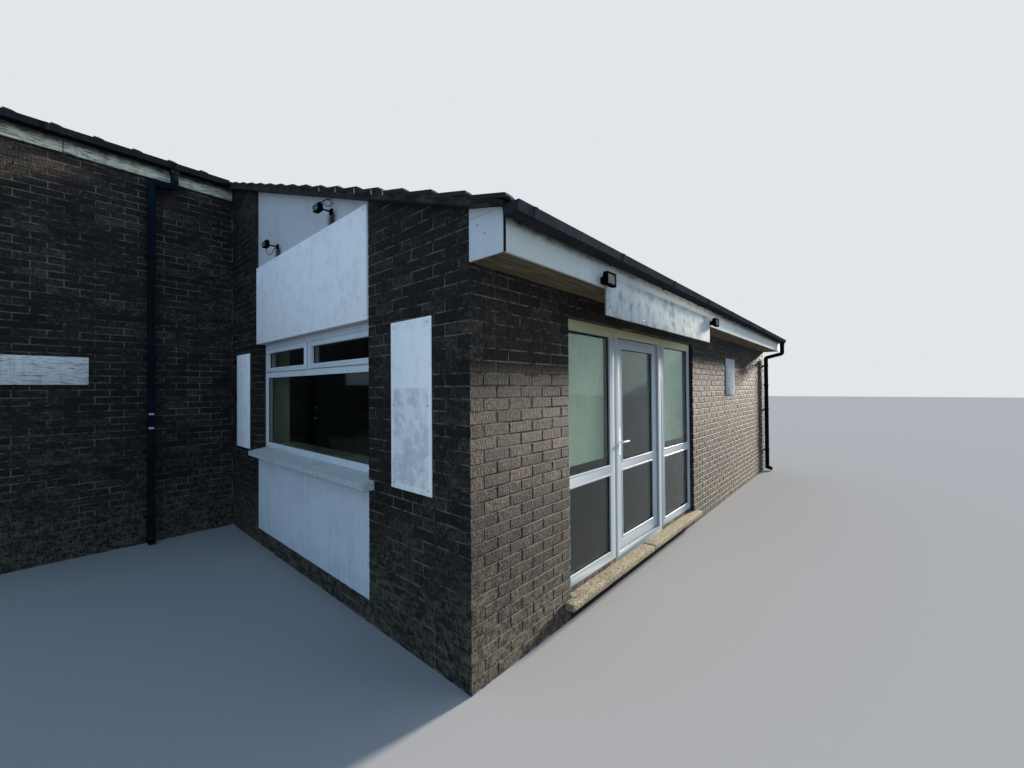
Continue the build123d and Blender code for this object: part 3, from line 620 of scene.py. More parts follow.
# The plaque is grey white, painted greyer still as shade for the shadow that falls across it.
PLAQUE_GREY_AND_SHADE = BoardFace("plaque_grey_and_shade", srgb(154, 162, 164), srgb(92, 100, 104), 0.5, 0.5)
FASCIA_SIGN = BoardFace("fascia_sign_face", srgb(176, 183, 183), srgb(112, 119, 119), 0.72, 0.55)
FADED = Paint("faded_board_paint", srgb(206, 210, 208), srgb(132, 132, 124), runs=0.7, flaking=0.6, gloss=0.6)
LAMP_BLACK = Metal("lamp_black_finish", srgb(15, 16, 17), srgb(44, 41, 38), gloss=0.6)
LAMP_LENS = BoardFace("lamp_lens", srgb(92, 116, 122), srgb(50, 66, 70), 0.5, 0.12)
PANE_LENS = BoardFace("pane_lens", srgb(84, 88, 88), srgb(44, 47, 48), 0.6, 0.1)
WHITE_METAL = Metal("white_metal_finish", srgb(226, 226, 222), srgb(168, 164, 152), gloss=0.25)
STEEL = Metal("hinge_steel", srgb(190, 190, 188), srgb(120, 116, 108), metallic=0.9, gloss=0.3)
GALVANISED = Metal("screw_heads", srgb(128, 130, 132), srgb(92, 84, 74), metallic=0.6, gloss=0.45)
LINTEL = RustedSteel("lintel_steel", srgb(44, 38, 34), srgb(150, 84, 36), -2.2, -1.08)
PLASTER = Plaster("wall_plaster", srgb(132, 148, 142), srgb(104, 118, 112))
SCREED = Plaster("floor_screed", srgb(40, 41, 38), srgb(28, 29, 27))
DECK = Plaster("roof_deck", srgb(52, 46, 40), srgb(34, 30, 27))
COUNTER = Plaster("counter_board", srgb(196, 202, 198), srgb(150, 157, 153))


class Bench:
    """Modelling by operators, with nothing left selected by accident."""

    @staticmethod
    def clear() -> None:
        """Leave edit mode and deselect everything."""
        if bpy.context.object and bpy.context.object.mode != "OBJECT":
            bpy.ops.object.mode_set(mode="OBJECT")
        bpy.ops.object.select_all(action="DESELECT")

    @staticmethod
    def take(piece: Piece) -> None:
        """Select one piece alone."""
        Bench.clear()
        piece.select_set(True)
        bpy.context.view_layer.objects.active = piece

    @staticmethod
    def settle(name: str) -> Piece:
        """Name the new primitive and put its place into its mesh."""
        piece = bpy.context.object
        bpy.ops.object.transform_apply(location=True, rotation=True, scale=True)
        piece.name = name
        piece.data.name = name
        return piece

    @staticmethod
    def box(name: str, low: Place, high: Place) -> Piece:
        """A box between two corners."""
        Bench.clear()
        centre = [(a + b) / 2 for a, b in zip(low, high)]
        size = [b - a for a, b in zip(low, high)]
        bpy.ops.mesh.primitive_cube_add(size=1, location=centre, scale=size)
        return Bench.settle(name)

    @staticmethod
    def rod(name: str, start: Place, end: Place, radius: float, sides: int = 16) -> Piece:
        """A round rod between two points."""
        Bench.clear()
        first, last = Vector(start), Vector(end)
        turn = (last - first).to_track_quat("Z", "Y").to_euler()
        bpy.ops.mesh.primitive_cylinder_add(vertices=sides, radius=radius, depth=(last - first).length,
                                            location=(first + last) / 2, rotation=turn)
        return Bench.settle(name)

    @staticmethod
    @contextmanager
    def editing(piece: Piece, kind: str = "FACE") -> Iterator[None]:
        """Edit mode on one piece, with nothing selected."""
        Bench.take(piece)
        bpy.ops.object.mode_set(mode="EDIT")
        bpy.ops.mesh.select_mode(type=kind)
        bpy.ops.mesh.select_all(action="DESELECT")
        yield
        bpy.ops.object.mode_set(mode="OBJECT")

    @staticmethod
    def pick_faces(piece: Piece, test: Callable[[bmesh.types.BMFace], bool]) -> None:
        """Select the faces that pass a test, in edit mode."""
        mesh = bmesh.from_edit_mesh(piece.data)
        for face in [face for face in mesh.faces if test(face)]:
            face.select_set(True)
        bmesh.update_edit_mesh(piece.data)

    @staticmethod
    def pick_edges(piece: Piece, test: Callable[[bmesh.types.BMEdge], bool]) -> None:
        """Select the edges that pass a test, in edit mode."""
        mesh = bmesh.from_edit_mesh(piece.data)
        for edge in [edge for edge in mesh.edges if test(edge)]:
            edge.select_set(True)
        bmesh.update_edit_mesh(piece.data)

    @staticmethod
    def round_edges(piece: Piece, width: float, segments: int = 2) -> None:
        """Round every sharp edge."""
        Bench.take(piece)
        bpy.ops.object.modifier_add(type="BEVEL")
        bevel = piece.modifiers[-1]
        bevel.width = width
        bevel.segments = segments
        bevel.limit_method = "ANGLE"
        bevel.angle_limit = BEVEL_ANGLE
        bpy.ops.object.modifier_apply(modifier=bevel.name)
        bpy.ops.object.shade_smooth_by_angle(angle=SMOOTH_ANGLE)

    @staticmethod
    def trim(piece: Piece, point: Place, normal: Place) -> None:
        """Cut off what lies beyond a plane, on the side that its normal points to, and close the cut."""
        with Bench.editing(piece, "VERT"):
            bpy.ops.mesh.select_all(action="SELECT")
            bpy.ops.mesh.bisect(plane_co=point, plane_no=normal, use_fill=True, clear_outer=True)

    @staticmethod
    def shake(amount: float, seed: int) -> None:
        """Move every point of the piece in edit mode a little, by chance."""
        bpy.ops.mesh.select_all(action="SELECT")
        bpy.ops.transform.vertex_random(offset=amount, uniform=1.0, normal=0.0, seed=seed)

    @staticmethod
    def slab(name: str, low: Place, high: Place, edge: float, segments: int = 1) -> Piece:
        """A box with rounded edges."""
        piece = Bench.box(name, low, high)
        Bench.round_edges(piece, edge, segments)
        return piece

    @staticmethod
    def thicken(piece: Piece, thickness: float) -> None:
        """Give an open sheet its thickness, behind its face."""
        Bench.take(piece)
        bpy.ops.object.modifier_add(type="SOLIDIFY")
        solid = piece.modifiers[-1]
        solid.thickness = thickness
        solid.offset = -1
        solid.use_even_offset = False
        bpy.ops.object.modifier_apply(modifier=solid.name)

    @staticmethod
    def ring(name: str, low: Place, high: Place, axis: Axis, width: float, edge: float) -> Piece:
        """A rectangular ring whose opening runs along an axis.

        Args:
            name: the piece's name.
            low: lowest corner.
            high: highest corner.
            axis: the direction of the opening.
            width: width of the ring's four sides.
            edge: how far its edges are rounded.

        Returns:
            The ring.
        """
        piece = Bench.box(name, low, high)
        with Bench.editing(piece):
            Bench.pick_faces(piece, lambda face: abs(face.normal[axis.value]) > SQUARE)
            bpy.ops.mesh.inset(thickness=width, use_individual=True)
            bpy.ops.mesh.bridge_edge_loops()
        Bench.round_edges(piece, edge, 1)
        return piece

    @staticmethod
    def join(name: str, pieces: Sequence[Piece]) -> Piece:
        """Join pieces into one mesh."""
        Bench.take(pieces[0])
        for piece in pieces[1:]:
            piece.select_set(True)
        if len(pieces) > 1:
            bpy.ops.object.join()
        joined = bpy.context.object
        joined.name = name
        joined.data.name = name
        return joined

    @staticmethod
    def copy_node(node: str, name: str) -> Piece:
        """A copy of a node's mesh, merged and cleaned into whole faces."""
        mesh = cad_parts[node].data.copy()
        mesh.materials.clear()
        piece = bpy.data.objects.new(name, mesh)
        bpy.context.scene.collection.objects.link(piece)
        mesh.name = name
        Bench.take(piece)
        bpy.ops.mesh.customdata_custom_splitnormals_clear()
        with Bench.editing(piece, "VERT"):
            bpy.ops.mesh.select_all(action="SELECT")
            bpy.ops.mesh.remove_doubles(threshold=MERGE)
            bpy.ops.mesh.dissolve_limited(angle_limit=FLAT_ANGLE)
        return piece

    @staticmethod
    def softened(node: str, width: float, segments: int = 2) -> Piece:
        """A merged copy of a node with its edges rounded."""
        piece = Bench.copy_node(node, node + "_finished")
        Bench.round_edges(piece, width, segments)
        return piece

    @staticmethod
    def lengths(node: str, axis: Axis, joints: Sequence[float], gap: float, edge: float,
                segments: int = 2) -> list[Piece]:
        """Copies of a node, cut at its joints into separate lengths with rounded edges.

        Args:
            node: name of the node.
            axis: the direction it runs in.
            joints: places of the joints along that axis.
            gap: width of each joint.
            edge: how far the edges are rounded.
            segments: steps of the rounding.

        Returns:
            The lengths, in order.
        """
        low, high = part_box(node)
        stops = [low[axis.value], *joints, high[axis.value]]
        made = []
        for number, (first, last) in enumerate(zip(stops, stops[1:])):
            length = Bench.copy_node(node, f"{node}_{number}")
            if number > 0:
                Bench.trim(length, axis.vector(first + gap / 2), axis.vector(-1))
            if number < len(joints):
                Bench.trim(length, axis.vector(last - gap / 2), axis.vector(1))
            Bench.round_edges(length, edge, segments)
            made.append(length)
        return made

    @staticmethod
    def paint_faces(piece: Piece, base: Finish, other: Finish,
                    test: Callable[[bpy.types.MeshPolygon], bool]) -> None:
        """Give a piece one finish, and the faces that pass a test another."""
        piece.data.materials.append(base.material())
        piece.data.materials.append(other.material())
        for face in piece.data.polygons:
            face.material_index = 1 if test(face) else 0

    @staticmethod
    def dress(piece: Piece, finish: Finish, slot: str, body: Body = Body.BUILDING,
              replaced: Sequence[str] = ()) -> None:
        """Give a piece its finish, its body and the nodes that it stands for."""
        if not piece.data.materials:
            piece.data.materials.append(finish.material())
        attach(piece, body.value)
        if replaced:
            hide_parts(*replaced)
        log.info("made %s, %d faces", piece.name, len(piece.data.polygons))


class Stamp:
    """Copies of one modelled template, joined into one mesh with a tone for each copy."""

    def __init__(self, template: Piece) -> None:
        """Read the template's mesh and remove its object."""
        mesh = template.data
        self.points = np.array([vertex.co for vertex in mesh.vertices], float)
        self.faces = [tuple(face.vertices) for face in mesh.polygons]
        self.copies: list[np.ndarray] = []
        self.tones: list[float] = []
        self.flips: list[bool] = []
        bpy.data.objects.remove(template)

    def add(self, points: np.ndarray, tone: float, flip: bool = False) -> None:
        """Add a copy by its points, and say if it is mirrored."""
        self.copies.append(points)
        self.tones.append(tone)
        self.flips.append(flip)

    def build(self, name: str) -> Piece:
        """Join the copies into a new piece."""
        count = len(self.points)
        points = np.concatenate(self.copies)
        faces = []
        for number, flip in enumerate(self.flips):
            start = number * count
            for face in self.faces:
                moved = [start + index for index in face]
                faces.append(moved[::-1] if flip else moved)
        mesh = bpy.data.meshes.new(name)
        mesh.from_pydata(points.tolist(), [], faces)
        tone = mesh.attributes.new("tone", "FLOAT", "POINT")
        tone.data.foreach_set("value", np.repeat(np.array(self.tones, np.float32), count))
        mesh.update()
        piece = bpy.data.objects.new(name, mesh)
        bpy.context.scene.collection.objects.link(piece)
        return piece


@dataclass(frozen=True)
class Survey:
    """The main lines of the building, read from the frame."""

    corner_x: float
    front_y: float
    right_x: float
    step_back_y: float
    rear_y: float
    left_x: float
    ridge_y: float
    wall_top: float
    slope: float
    verge_left: float
    verge_right: float
    wall: float

    @classmethod
    def take(cls) -> "Survey":
        """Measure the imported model."""
        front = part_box("front_wall_left")
        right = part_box("front_wall_right")
        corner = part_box("gable_wall_corner")
        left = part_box("left_front_wall")
        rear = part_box("rear_wall")
        slope = (corner[1].z - front[1].z) / (corner[1].y - front[1].y)
        shop_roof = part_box("roof_shop")
        return cls(corner_x=front[0].x, front_y=front[0].y, right_x=right[1].x, step_back_y=left[0].y,
                   rear_y=rear[1].y, left_x=left[0].x, ridge_y=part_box("roof_main_front")[1].y,
                   wall_top=front[1].z - slope * (front[1].y - front[0].y), slope=slope,
                   verge_left=shop_roof[0].x, verge_right=shop_roof[1].x, wall=front[1].y - front[0].y)

    def underside(self, y: float) -> float:
        """Height of the roof's underside above a line at y."""
        return self.wall_top + self.slope * (self.ridge_y - abs(y - self.ridge_y) - self.front_y)

    @property
    def pitch(self) -> float:
        """Angle of the roof."""
        return math.atan(self.slope)


SITE = Survey.take()


def chance_tone(dice: random.Random, mean: float, spread: float) -> float:
    """A tone from 0 to 1, by chance round a mean."""
    return min(1.0, max(0.0, dice.gauss(mean, spread)))


def islands(node: str) -> list[tuple[Vector, Vector]]:
    """Boxes of the separate solids of a node, by height and then along X and Y.

    Args:
        node: name of the node.

    Returns:
        The lowest and highest corner of each solid.
    """
    mesh = bmesh.new()
    mesh.from_mesh(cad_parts[node].data)
    bmesh.ops.remove_doubles(mesh, verts=mesh.verts, dist=MERGE)
    left = set(mesh.verts)
    boxes = []
    while left:
        reached = [left.pop()]
        group = []
        while reached:
            vertex = reached.pop()
            group.append(vertex.co.copy())
            for edge in vertex.link_edges:
                other = edge.other_vert(vertex)
                if other in left:
                    left.remove(other)
                    reached.append(other)
        low = Vector([min(point[i] for point in group) for i in range(3)])
        high = Vector([max(point[i] for point in group) for i in range(3)])
        boxes.append((low, high))
    mesh.free()
    return sorted(boxes, key=lambda box: (round(box[0].z, 3), round(box[0].x, 3), round(box[0].y, 3)))


Rect = tuple[float, float, float, float]


def cut_out(rect: Rect, hole: Rect) -> list[Rect]:
    """What is left of a rectangle around a hole, as smaller rectangles.

    Args:
        rect: left, right, foot and head of the rectangle.
        hole: left, right, foot and head of the hole.

    Returns:
        Up to four rectangles.
    """
    left, right, foot, head = rect
    a, b, c, d = hole
    if b <= left or a >= right or d <= foot or c >= head:
        return [rect]
    parts = []
    if a > left:
        parts.append((left, a, foot, head))
    if b < right:
        parts.append((b, right, foot, head))
    inner_left, inner_right = max(left, a), min(right, b)
    if c > foot:
        parts.append((inner_left, inner_right, foot, c))
    if d < head:
        parts.append((inner_left, inner_right, d, head))
    return parts


class End(Enum):
    """How a run of bricks ends."""

    QUOIN = "outer corner, shared with the next face"
    BUTT = "stops against another wall"


@dataclass
class BrickFace:
    """One face of brickwork in half bond, laid brick by brick on a recessed bed of mortar."""

    name: str
    start: tuple[float, float]
    along: tuple[float, float]
    inward: tuple[float, float]
    length: float
    whole_rows: int
    start_end: End = End.QUOIN
    far_end: End = End.QUOIN
    holes: list[Rect] = field(default_factory=list)
    seed: int = 1
    joint: float = 0.010
    nominal: float = 0.225
    course: float = 0.075
    first_course: float = 0.012
    depth: float = 0.1025
    arris: float = 0.0026
    thinnest: float = 0.012
    half_size: tuple[float, float, float] = (0.1075, 0.05125, 0.0325)
    tone: tuple[float, float] = (0.5, 0.24)
    setback: float = 0.0006
    lean: float = 0.0016
    jitter: tuple[float, float, float] = (0.0006, 0.0, 0.0005)
    tilt: float = 0.0006

    def rows(self) -> int:
        """Number of courses up to the highest point of the roof line."""
        return math.ceil((self.top() - self.first_course) / self.course)

    def ends(self) -> tuple[float, float]:
        """Y of the two ends of the face."""
        return self.start[1], self.start[1] + self.along[1] * self.length

    def top(self) -> float:
        """Highest point of the wall below the roof."""
        low, high = sorted(self.ends())
        peak = min(max(SITE.ridge_y, low), high)
        return SITE.underside(peak)

    def runs(self, row: int) -> list[tuple[float, float]]:
        """Left and right ends of the bricks in a course."""
        count = round((self.length + self.joint) / self.nominal)
        pitch = (self.length + self.joint) / count
        if row % 2 == self.whole_rows:
            return [(k * pitch, (k + 1) * pitch - self.joint) for k in range(count)]
        half = pitch / 2
        bricks = [(half + k * pitch, half + (k + 1) * pitch - self.joint) for k in range(count - 1)]
        if self.start_end is End.BUTT:
            bricks.insert(0, (0.0, half - self.joint))
        if self.far_end is End.BUTT:
            bricks.append((self.length - half + self.joint, self.length))
        return bricks

    def template(self) -> Piece:
        """One brick with worn arrises round its face, centred on the origin."""
        brick = Bench.box("brick", [-half for half in self.half_size], self.half_size)
        with Bench.editing(brick, "EDGE"):
            Bench.pick_edges(brick, lambda edge: all(vertex.co.y < 0 for vertex in edge.verts))
            bpy.ops.mesh.bevel(offset=self.arris, segments=1)
        return brick

    def spot(self, u: np.ndarray, inward: np.ndarray, z: np.ndarray) -> np.ndarray:
        """Points of the frame from points along, into and up the face."""
        x = self.start[0] + self.along[0] * u + self.inward[0] * inward
        y = self.start[1] + self.along[1] * u + self.inward[1] * inward
        return np.stack([x, y, z], axis=1)

    @property
    def mirrored(self) -> bool:
        """True where the face's directions make a left handed set."""
        return self.along[0] * self.inward[1] - self.along[1] * self.inward[0] < 0

    def lay(self) -> None:
        """Lay every brick of the face."""
        dice = random.Random(self.seed)
        stamp = Stamp(self.template())
        sign = np.sign(stamp.points)
        inset = np.array(self.half_size) - np.abs(stamp.points)
        for row in range(self.rows()):
            foot = self.first_course + row * self.course + self.joint / 2
            for left, right in self.runs(row):
                rects = [(left, right, foot, foot + self.course - self.joint)]
                for hole in self.holes:
                    rects = [part for rect in rects for part in cut_out(rect, hole)]
                tone = chance_tone(dice, *self.tone)
                lean = self.setback + dice.uniform(0.0, self.lean)
                for a, b, c, d in rects:
                    if b - a < self.thinnest or d - c < self.thinnest:
                        continue
                    middle = np.array([(a + b) / 2, lean + self.depth / 2, (c + d) / 2])
                    half = np.array([(b - a) / 2, self.depth / 2, (d - c) / 2])
                    jitter = np.array([dice.uniform(-1, 1) for _ in range(3)]) * self.jitter
                    local = middle + jitter + sign * (half - inset)
                    local[:, 0] = np.clip(local[:, 0], 0.0, self.length)
                    local[:, 1] += sign[:, 2] * dice.uniform(-self.tilt, self.tilt)
                    stamp.add(self.spot(local[:, 0], local[:, 1], local[:, 2]), tone, self.mirrored)
        bricks = stamp.build(self.name + "_bricks")
        self.cut_to_roof(bricks)
        Bench.dress(bricks, WALL_BRICK, "brick")

    def cut_to_roof(self, piece: Piece) -> None:
        """Cut a piece off along the underside of the roof."""
        foot = SITE.underside(SITE.ridge_y)
        low, high = sorted(self.ends())
        if low < SITE.ridge_y:
            Bench.trim(piece, (0, SITE.ridge_y, foot - 0.001), (0, -SITE.slope, 1))
        if high > SITE.ridge_y:
            Bench.trim(piece, (0, SITE.ridge_y, foot - 0.001), (0, SITE.slope, 1))


@dataclass
class Walls:
    """Brick skins on all sides, over cores that carry the mortar outside and the plaster inside."""

    mortar_recess: float = 0.0048
    reveal_recess: float = 0.003
    near: float = 0.001
    reach: float = 0.03
    # The core under the shop front, whose outside is painted near black as the shade under the step.
    hidden: str = "front_wall_under_shopfront"
    cores: tuple[str, ...] = ("front_wall_left", "front_wall_right", "front_wall_over_shopfront",
                              "front_wall_under_shopfront", "gable_wall_corner", "gable_wall_inner",
                              "gable_plinth", "left_front_wall", "left_party_wall", "rear_wall",
                              "right_gable_wall")

    def faces(self) -> list[BrickFace]:
        """The faces of brickwork, in their order round the building.

        Returns:
            The faces, with their holes.
        """
        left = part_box("shopfront_left_light")[0].x - SITE.corner_x
        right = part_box("shopfront_right_light")[1].x - SITE.corner_x
        foot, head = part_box("threshold_step")[0].z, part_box("door_frame")[1].z
        bay_low, bay_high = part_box("gable_plinth")
        bay_hole = (bay_low.y - SITE.front_y, bay_high.y - SITE.front_y, bay_high.z,
                    SITE.underside(SITE.ridge_y))
        near, back, rear = SITE.front_y, SITE.step_back_y, SITE.rear_y
        butt_x = SITE.corner_x - BrickFace.joint
        return [
            # No bricks are laid under the step, so the near black core shows there as painted shade.
            BrickFace("shop_front", (SITE.corner_x, near), (1, 0), (0, 1), SITE.right_x - SITE.corner_x, 0,
                      holes=[(left, right, foot, head), (left, right, 0.0, foot)], seed=11),
            BrickFace("bay_gable", (SITE.corner_x, near), (0, 1), (1, 0), back - near, 1,
                      far_end=End.BUTT, holes=[bay_hole], seed=12),
            BrickFace("left_front", (butt_x, back), (-1, 0), (0, 1), butt_x - SITE.left_x, 0,
                      start_end=End.BUTT, seed=13),
            BrickFace("party", (SITE.left_x, back), (0, 1), (1, 0), rear - back, 1, seed=14),
            BrickFace("rear", (SITE.left_x, rear), (1, 0), (0, -1), SITE.right_x - SITE.left_x, 0, seed=15),
            BrickFace("right_gable", (SITE.right_x, near), (0, 1), (-1, 0), rear - near, 1, seed=16),
        ]

    def is_outside(self, centre: Vector, normal: Vector) -> bool:
        """True for a face that a skin of bricks stands in front of."""
        near = self.near
        tests = (
            (normal.y < -SQUARE and abs(centre.y - SITE.front_y) < near),
            (normal.x < -SQUARE and abs(centre.x - SITE.corner_x) < near and centre.y < SITE.step_back_y),
            (normal.y < -SQUARE and abs(centre.y - SITE.step_back_y) < near),
            (normal.x < -SQUARE and abs(centre.x - SITE.left_x) < near),
            (normal.y > SQUARE and abs(centre.y - SITE.rear_y) < near),
            (normal.x > SQUARE and abs(centre.x - SITE.right_x) < near),
        )
        return any(tests)

    def is_indoors(self, centre: Vector, normal: Vector) -> bool:
        """True for a face that looks into a room."""
        probe = centre + normal * self.reach
        side = SITE.left_x if probe.y > SITE.step_back_y + SITE.wall else SITE.corner_x
        across = side + SITE.wall - self.near < probe.x < SITE.right_x - SITE.wall + self.near
        deep = SITE.front_y + SITE.wall - self.near < probe.y < SITE.rear_y - SITE.wall + self.near
        return across and deep

    def core(self, node: str) -> None:
        """The body of a wall behind its bricks, plastered inside."""
        piece = Bench.copy_node(node, node + "_core")
        mesh = bmesh.new()
        mesh.from_mesh(piece.data)
        mesh.normal_update()
        pushes = []
        for face in mesh.faces:
            centre = face.calc_center_median()
            if self.is_outside(centre, face.normal):
                pushes.append((face.normal.copy(), centre.copy(), self.mortar_recess))
            elif abs(face.normal.z) < 0.5 and not self.is_indoors(centre, face.normal):
                pushes.append((face.normal.copy(), centre.copy(), self.reveal_recess))
        mesh.free()
        for normal, centre, push in pushes:
            with Bench.editing(piece):
                Bench.pick_faces(piece, lambda face: face.normal.dot(normal) > 0.99
                                 and abs((face.calc_center_median() - centre).dot(normal)) < 0.0005)
                bpy.ops.transform.translate(value=-normal * push)
        # The wall under the step is painted near black as painted shade; the other walls get mortar outside.
        outer = SHADE_AND_END_GRAIN if node == self.hidden else WALL_MORTAR
        Bench.paint_faces(piece, outer, PLASTER, lambda face: self.is_indoors(face.center, face.normal))
        Bench.dress(piece, outer, "brick", replaced=[node])

    def build(self) -> None:
        """Make the cores, then the skins."""
        for node in self.cores:
            self.core(node)
        for face in self.faces():
            face.lay()


@dataclass
class TiledRoof:
    """Courses of interlocking tiles over the deck, with ridge tiles and bedded verges."""

    gauge: float = 0.315
    bed: float = 0.050
    nose: float = 0.033
    pan_nose: float = 0.059
    pan_head: float = 0.031
    roll: float = 0.024
    roll_width: float = 0.095
    crest: float = 0.020
    eave_lift: float = 0.026
    thick: float = 0.024
    lap: float = 0.030
    deck: float = 0.026
    nominal_width: float = 0.301
    ridge_length: float = 0.45
    ridge_radius: float = 0.1245
    ridge_wall: float = 0.018
    ridge_gap: float = 0.006
    nose_bevel: float = 0.009
    slip: float = 0.003
    sink: float = 0.0012
    tone: tuple[float, float] = (0.45, 0.22)
    verge_width: float = 0.075
    verge_setback: float = 0.004
    verge_rough: float = 0.0035
    clip_ys: tuple[float, ...] = (1.799, 1.500, 1.196, 0.950, 0.800)

    def tile_width(self) -> float:
        """Cover width that fills the shop roof with whole tiles."""
        wide = SITE.verge_right - SITE.verge_left
        return wide / round(wide / self.nominal_width)

    def template(self, width: float) -> Piece:
        """One tile: X across, Y up the slope from its nose, Z off the roof's underside."""
        Bench.clear()
        bpy.ops.mesh.primitive_grid_add(x_subdivisions=10, y_subdivisions=1, size=1)
        tile = Bench.settle("tile")
        roll_stops = [0.0, 0.004, 0.016, 0.034, 0.061, 0.079, self.roll_width]
        stops = roll_stops + [0.14, 0.20, 0.26, width]
        for vertex in tile.data.vertices:
            x = stops[round((vertex.co.x + 0.5) * 10)]
            y = (vertex.co.y + 0.5) * (self.gauge + self.lap)
            z = self.pan_nose - (self.pan_nose - self.pan_head) * y / self.gauge + self.profile(x, width)
            vertex.co = (x, y, z)
        Bench.thicken(tile, self.thick)
        with Bench.editing(tile, "EDGE"):
            Bench.pick_edges(tile, lambda edge: all(v.co.y < 0.008 for v in edge.verts)
                             and abs(edge.verts[0].co.x - edge.verts[1].co.x) > 0.002
                             and all(v.co.z > self.pan_nose - 0.006 for v in edge.verts))
            bpy.ops.mesh.bevel(offset=self.nose_bevel, segments=2)
        for vertex in tile.data.vertices:
            vertex.co.x = min(max(vertex.co.x, 0.0), width)
        return tile

    def profile(self, x: float, width: float) -> float:
        """Height of the tile's section at x: a roll with its crest near the left edge, then a shallow pan."""
        if x <= self.roll_width:
            share = (x - self.crest) / (self.roll_width - self.crest)
            return self.roll * math.sqrt(max(0.03, 1 - share * share))
        across = (x - self.roll_width) / (width - self.roll_width)
        return self.roll * 0.2 * (1 - across) - 0.004 * math.sin(math.pi * across)

    def slope_points(self, local: np.ndarray, x0: float, start_y: float, along: float,
                     rear: bool) -> np.ndarray:
        """Points of the frame from points of a tile on one of the slopes."""
        cos, sin = math.cos(SITE.pitch), math.sin(SITE.pitch)
        up = along + local[:, 1]
        y = up * cos - local[:, 2] * sin
        z = SITE.underside(start_y) + up * sin + local[:, 2] * cos
        if rear:
            return np.stack([x0 - local[:, 0], 2 * SITE.ridge_y - start_y - y, z], axis=1)
        return np.stack([x0 + local[:, 0], start_y + y, z], axis=1)

    def lay(self, name: str, start_y: float, end_y: float, low_x: float, high_x: float,
            rear: bool, seed: int) -> None:
        """Tile one slope, with its eave course packed up where a gutter of the taller block runs below it.

        Args:
            name: the piece's name.
            start_y: where the noses of the eave course lie, on the front slope's side.
            end_y: where the slope ends.
            low_x: left end.
            high_x: right end, from which whole tiles are set out.
            rear: True on the rear slope, which mirrors the front one.
            seed: seed of the tones.
        """
        dice = random.Random(seed)
        width = self.tile_width()
        stamp = Stamp(self.template(width))
        run = (end_y - start_y) / math.cos(SITE.pitch)
        rows = math.ceil(run / self.gauge)
        columns = math.ceil((high_x - low_x) / width - 0.001)
        for row in range(rows):
            for column in range(columns):
                x0 = high_x - (columns - column) * width if not rear else high_x - column * width
                local = stamp.points.copy()
                local[:, 2] += dice.uniform(-self.sink, 0.0)
                local[:, 1] += dice.uniform(0.0, self.slip)
                if row == 0 and (rear or x0 < SITE.verge_left - width / 2):
                    local[:, 2] += self.eave_lift * (1 - local[:, 1] / self.gauge)
                tone = chance_tone(dice, *self.tone)
                stamp.add(self.slope_points(local, x0, start_y, row * self.gauge, rear), tone)
        tiles = stamp.build(name)
        Bench.trim(tiles, (low_x, 0, 0), (-1, 0, 0))
        if end_y > SITE.ridge_y - 0.001:
            away = -1 if rear else 1
            Bench.trim(tiles, (0, SITE.ridge_y, 0), (0, away, 0))
        Bench.dress(tiles, TILE, "roof_tile")

    def deck_piece(self, node: str, rear: bool) -> None:
        """The deck under the tiles: the lower part of the roof node."""
        piece = Bench.copy_node(node, node + "_deck")
        lean = SITE.slope if rear else -SITE.slope
        top = SITE.underside(SITE.ridge_y) + self.deck / math.cos(SITE.pitch)
        Bench.trim(piece, (0, SITE.ridge_y, top), (0, lean, 1))
        Bench.paint_faces(piece, DECK, VERGE_MORTAR, lambda face: abs(face.normal.x) > SQUARE)
        Bench.dress(piece, DECK, "roof_tile", replaced=[node])

    def ridge(self) -> None:
        """Half round ridge tiles, each a little apart and tilted by chance."""
        low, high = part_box("ridge_tiles")
        count = round((high.x - low.x) / self.ridge_length)
        pitch = (high.x - low.x) / count
        Bench.clear()
        bpy.ops.mesh.primitive_cylinder_add(vertices=28, radius=self.ridge_radius,
                                            depth=pitch - self.ridge_gap, end_fill_type="NOTHING",
                                            rotation=(0, math.pi / 2, 0))
        tile = Bench.settle("ridge_tile")
        with Bench.editing(tile, "VERT"):
            bpy.ops.mesh.select_all(action="SELECT")
            bpy.ops.mesh.bisect(plane_co=(0, 0, -0.008), plane_no=(0, 0, -1), clear_outer=True)
        Bench.thicken(tile, self.ridge_wall)
        Bench.round_edges(tile, 0.003, 1)
        stamp = Stamp(tile)
        centre_z = high.z - self.ridge_radius
        dice = random.Random(31)
        for number in range(count):
            middle = np.array([low.x + (number + 0.5) * pitch, SITE.ridge_y, centre_z])
            sink = np.array([0, 0, dice.uniform(-0.0015, 0)])
            stamp.add(stamp.points + middle + sink, dice.uniform(0.3, 0.8))
        tiles = stamp.build("ridge_capping")
        Bench.dress(tiles, TILE, "roof_tile", replaced=["ridge_tiles"])

    def ridge_bed(self) -> None:
        """Mortar under the ridge tiles and in their joints."""
        low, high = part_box("ridge_tiles")
        radius = self.ridge_radius - 0.006
        centre_z = high.z - self.ridge_radius
        bed = Bench.rod("ridge_bedding", (low.x + 0.004, SITE.ridge_y, centre_z),
                        (high.x - 0.004, SITE.ridge_y, centre_z), radius, 28)
        Bench.trim(bed, (0, SITE.ridge_y, centre_z - 0.03), (0, 0, -1))
        Bench.dress(bed, VERGE_MORTAR, "roof_tile")

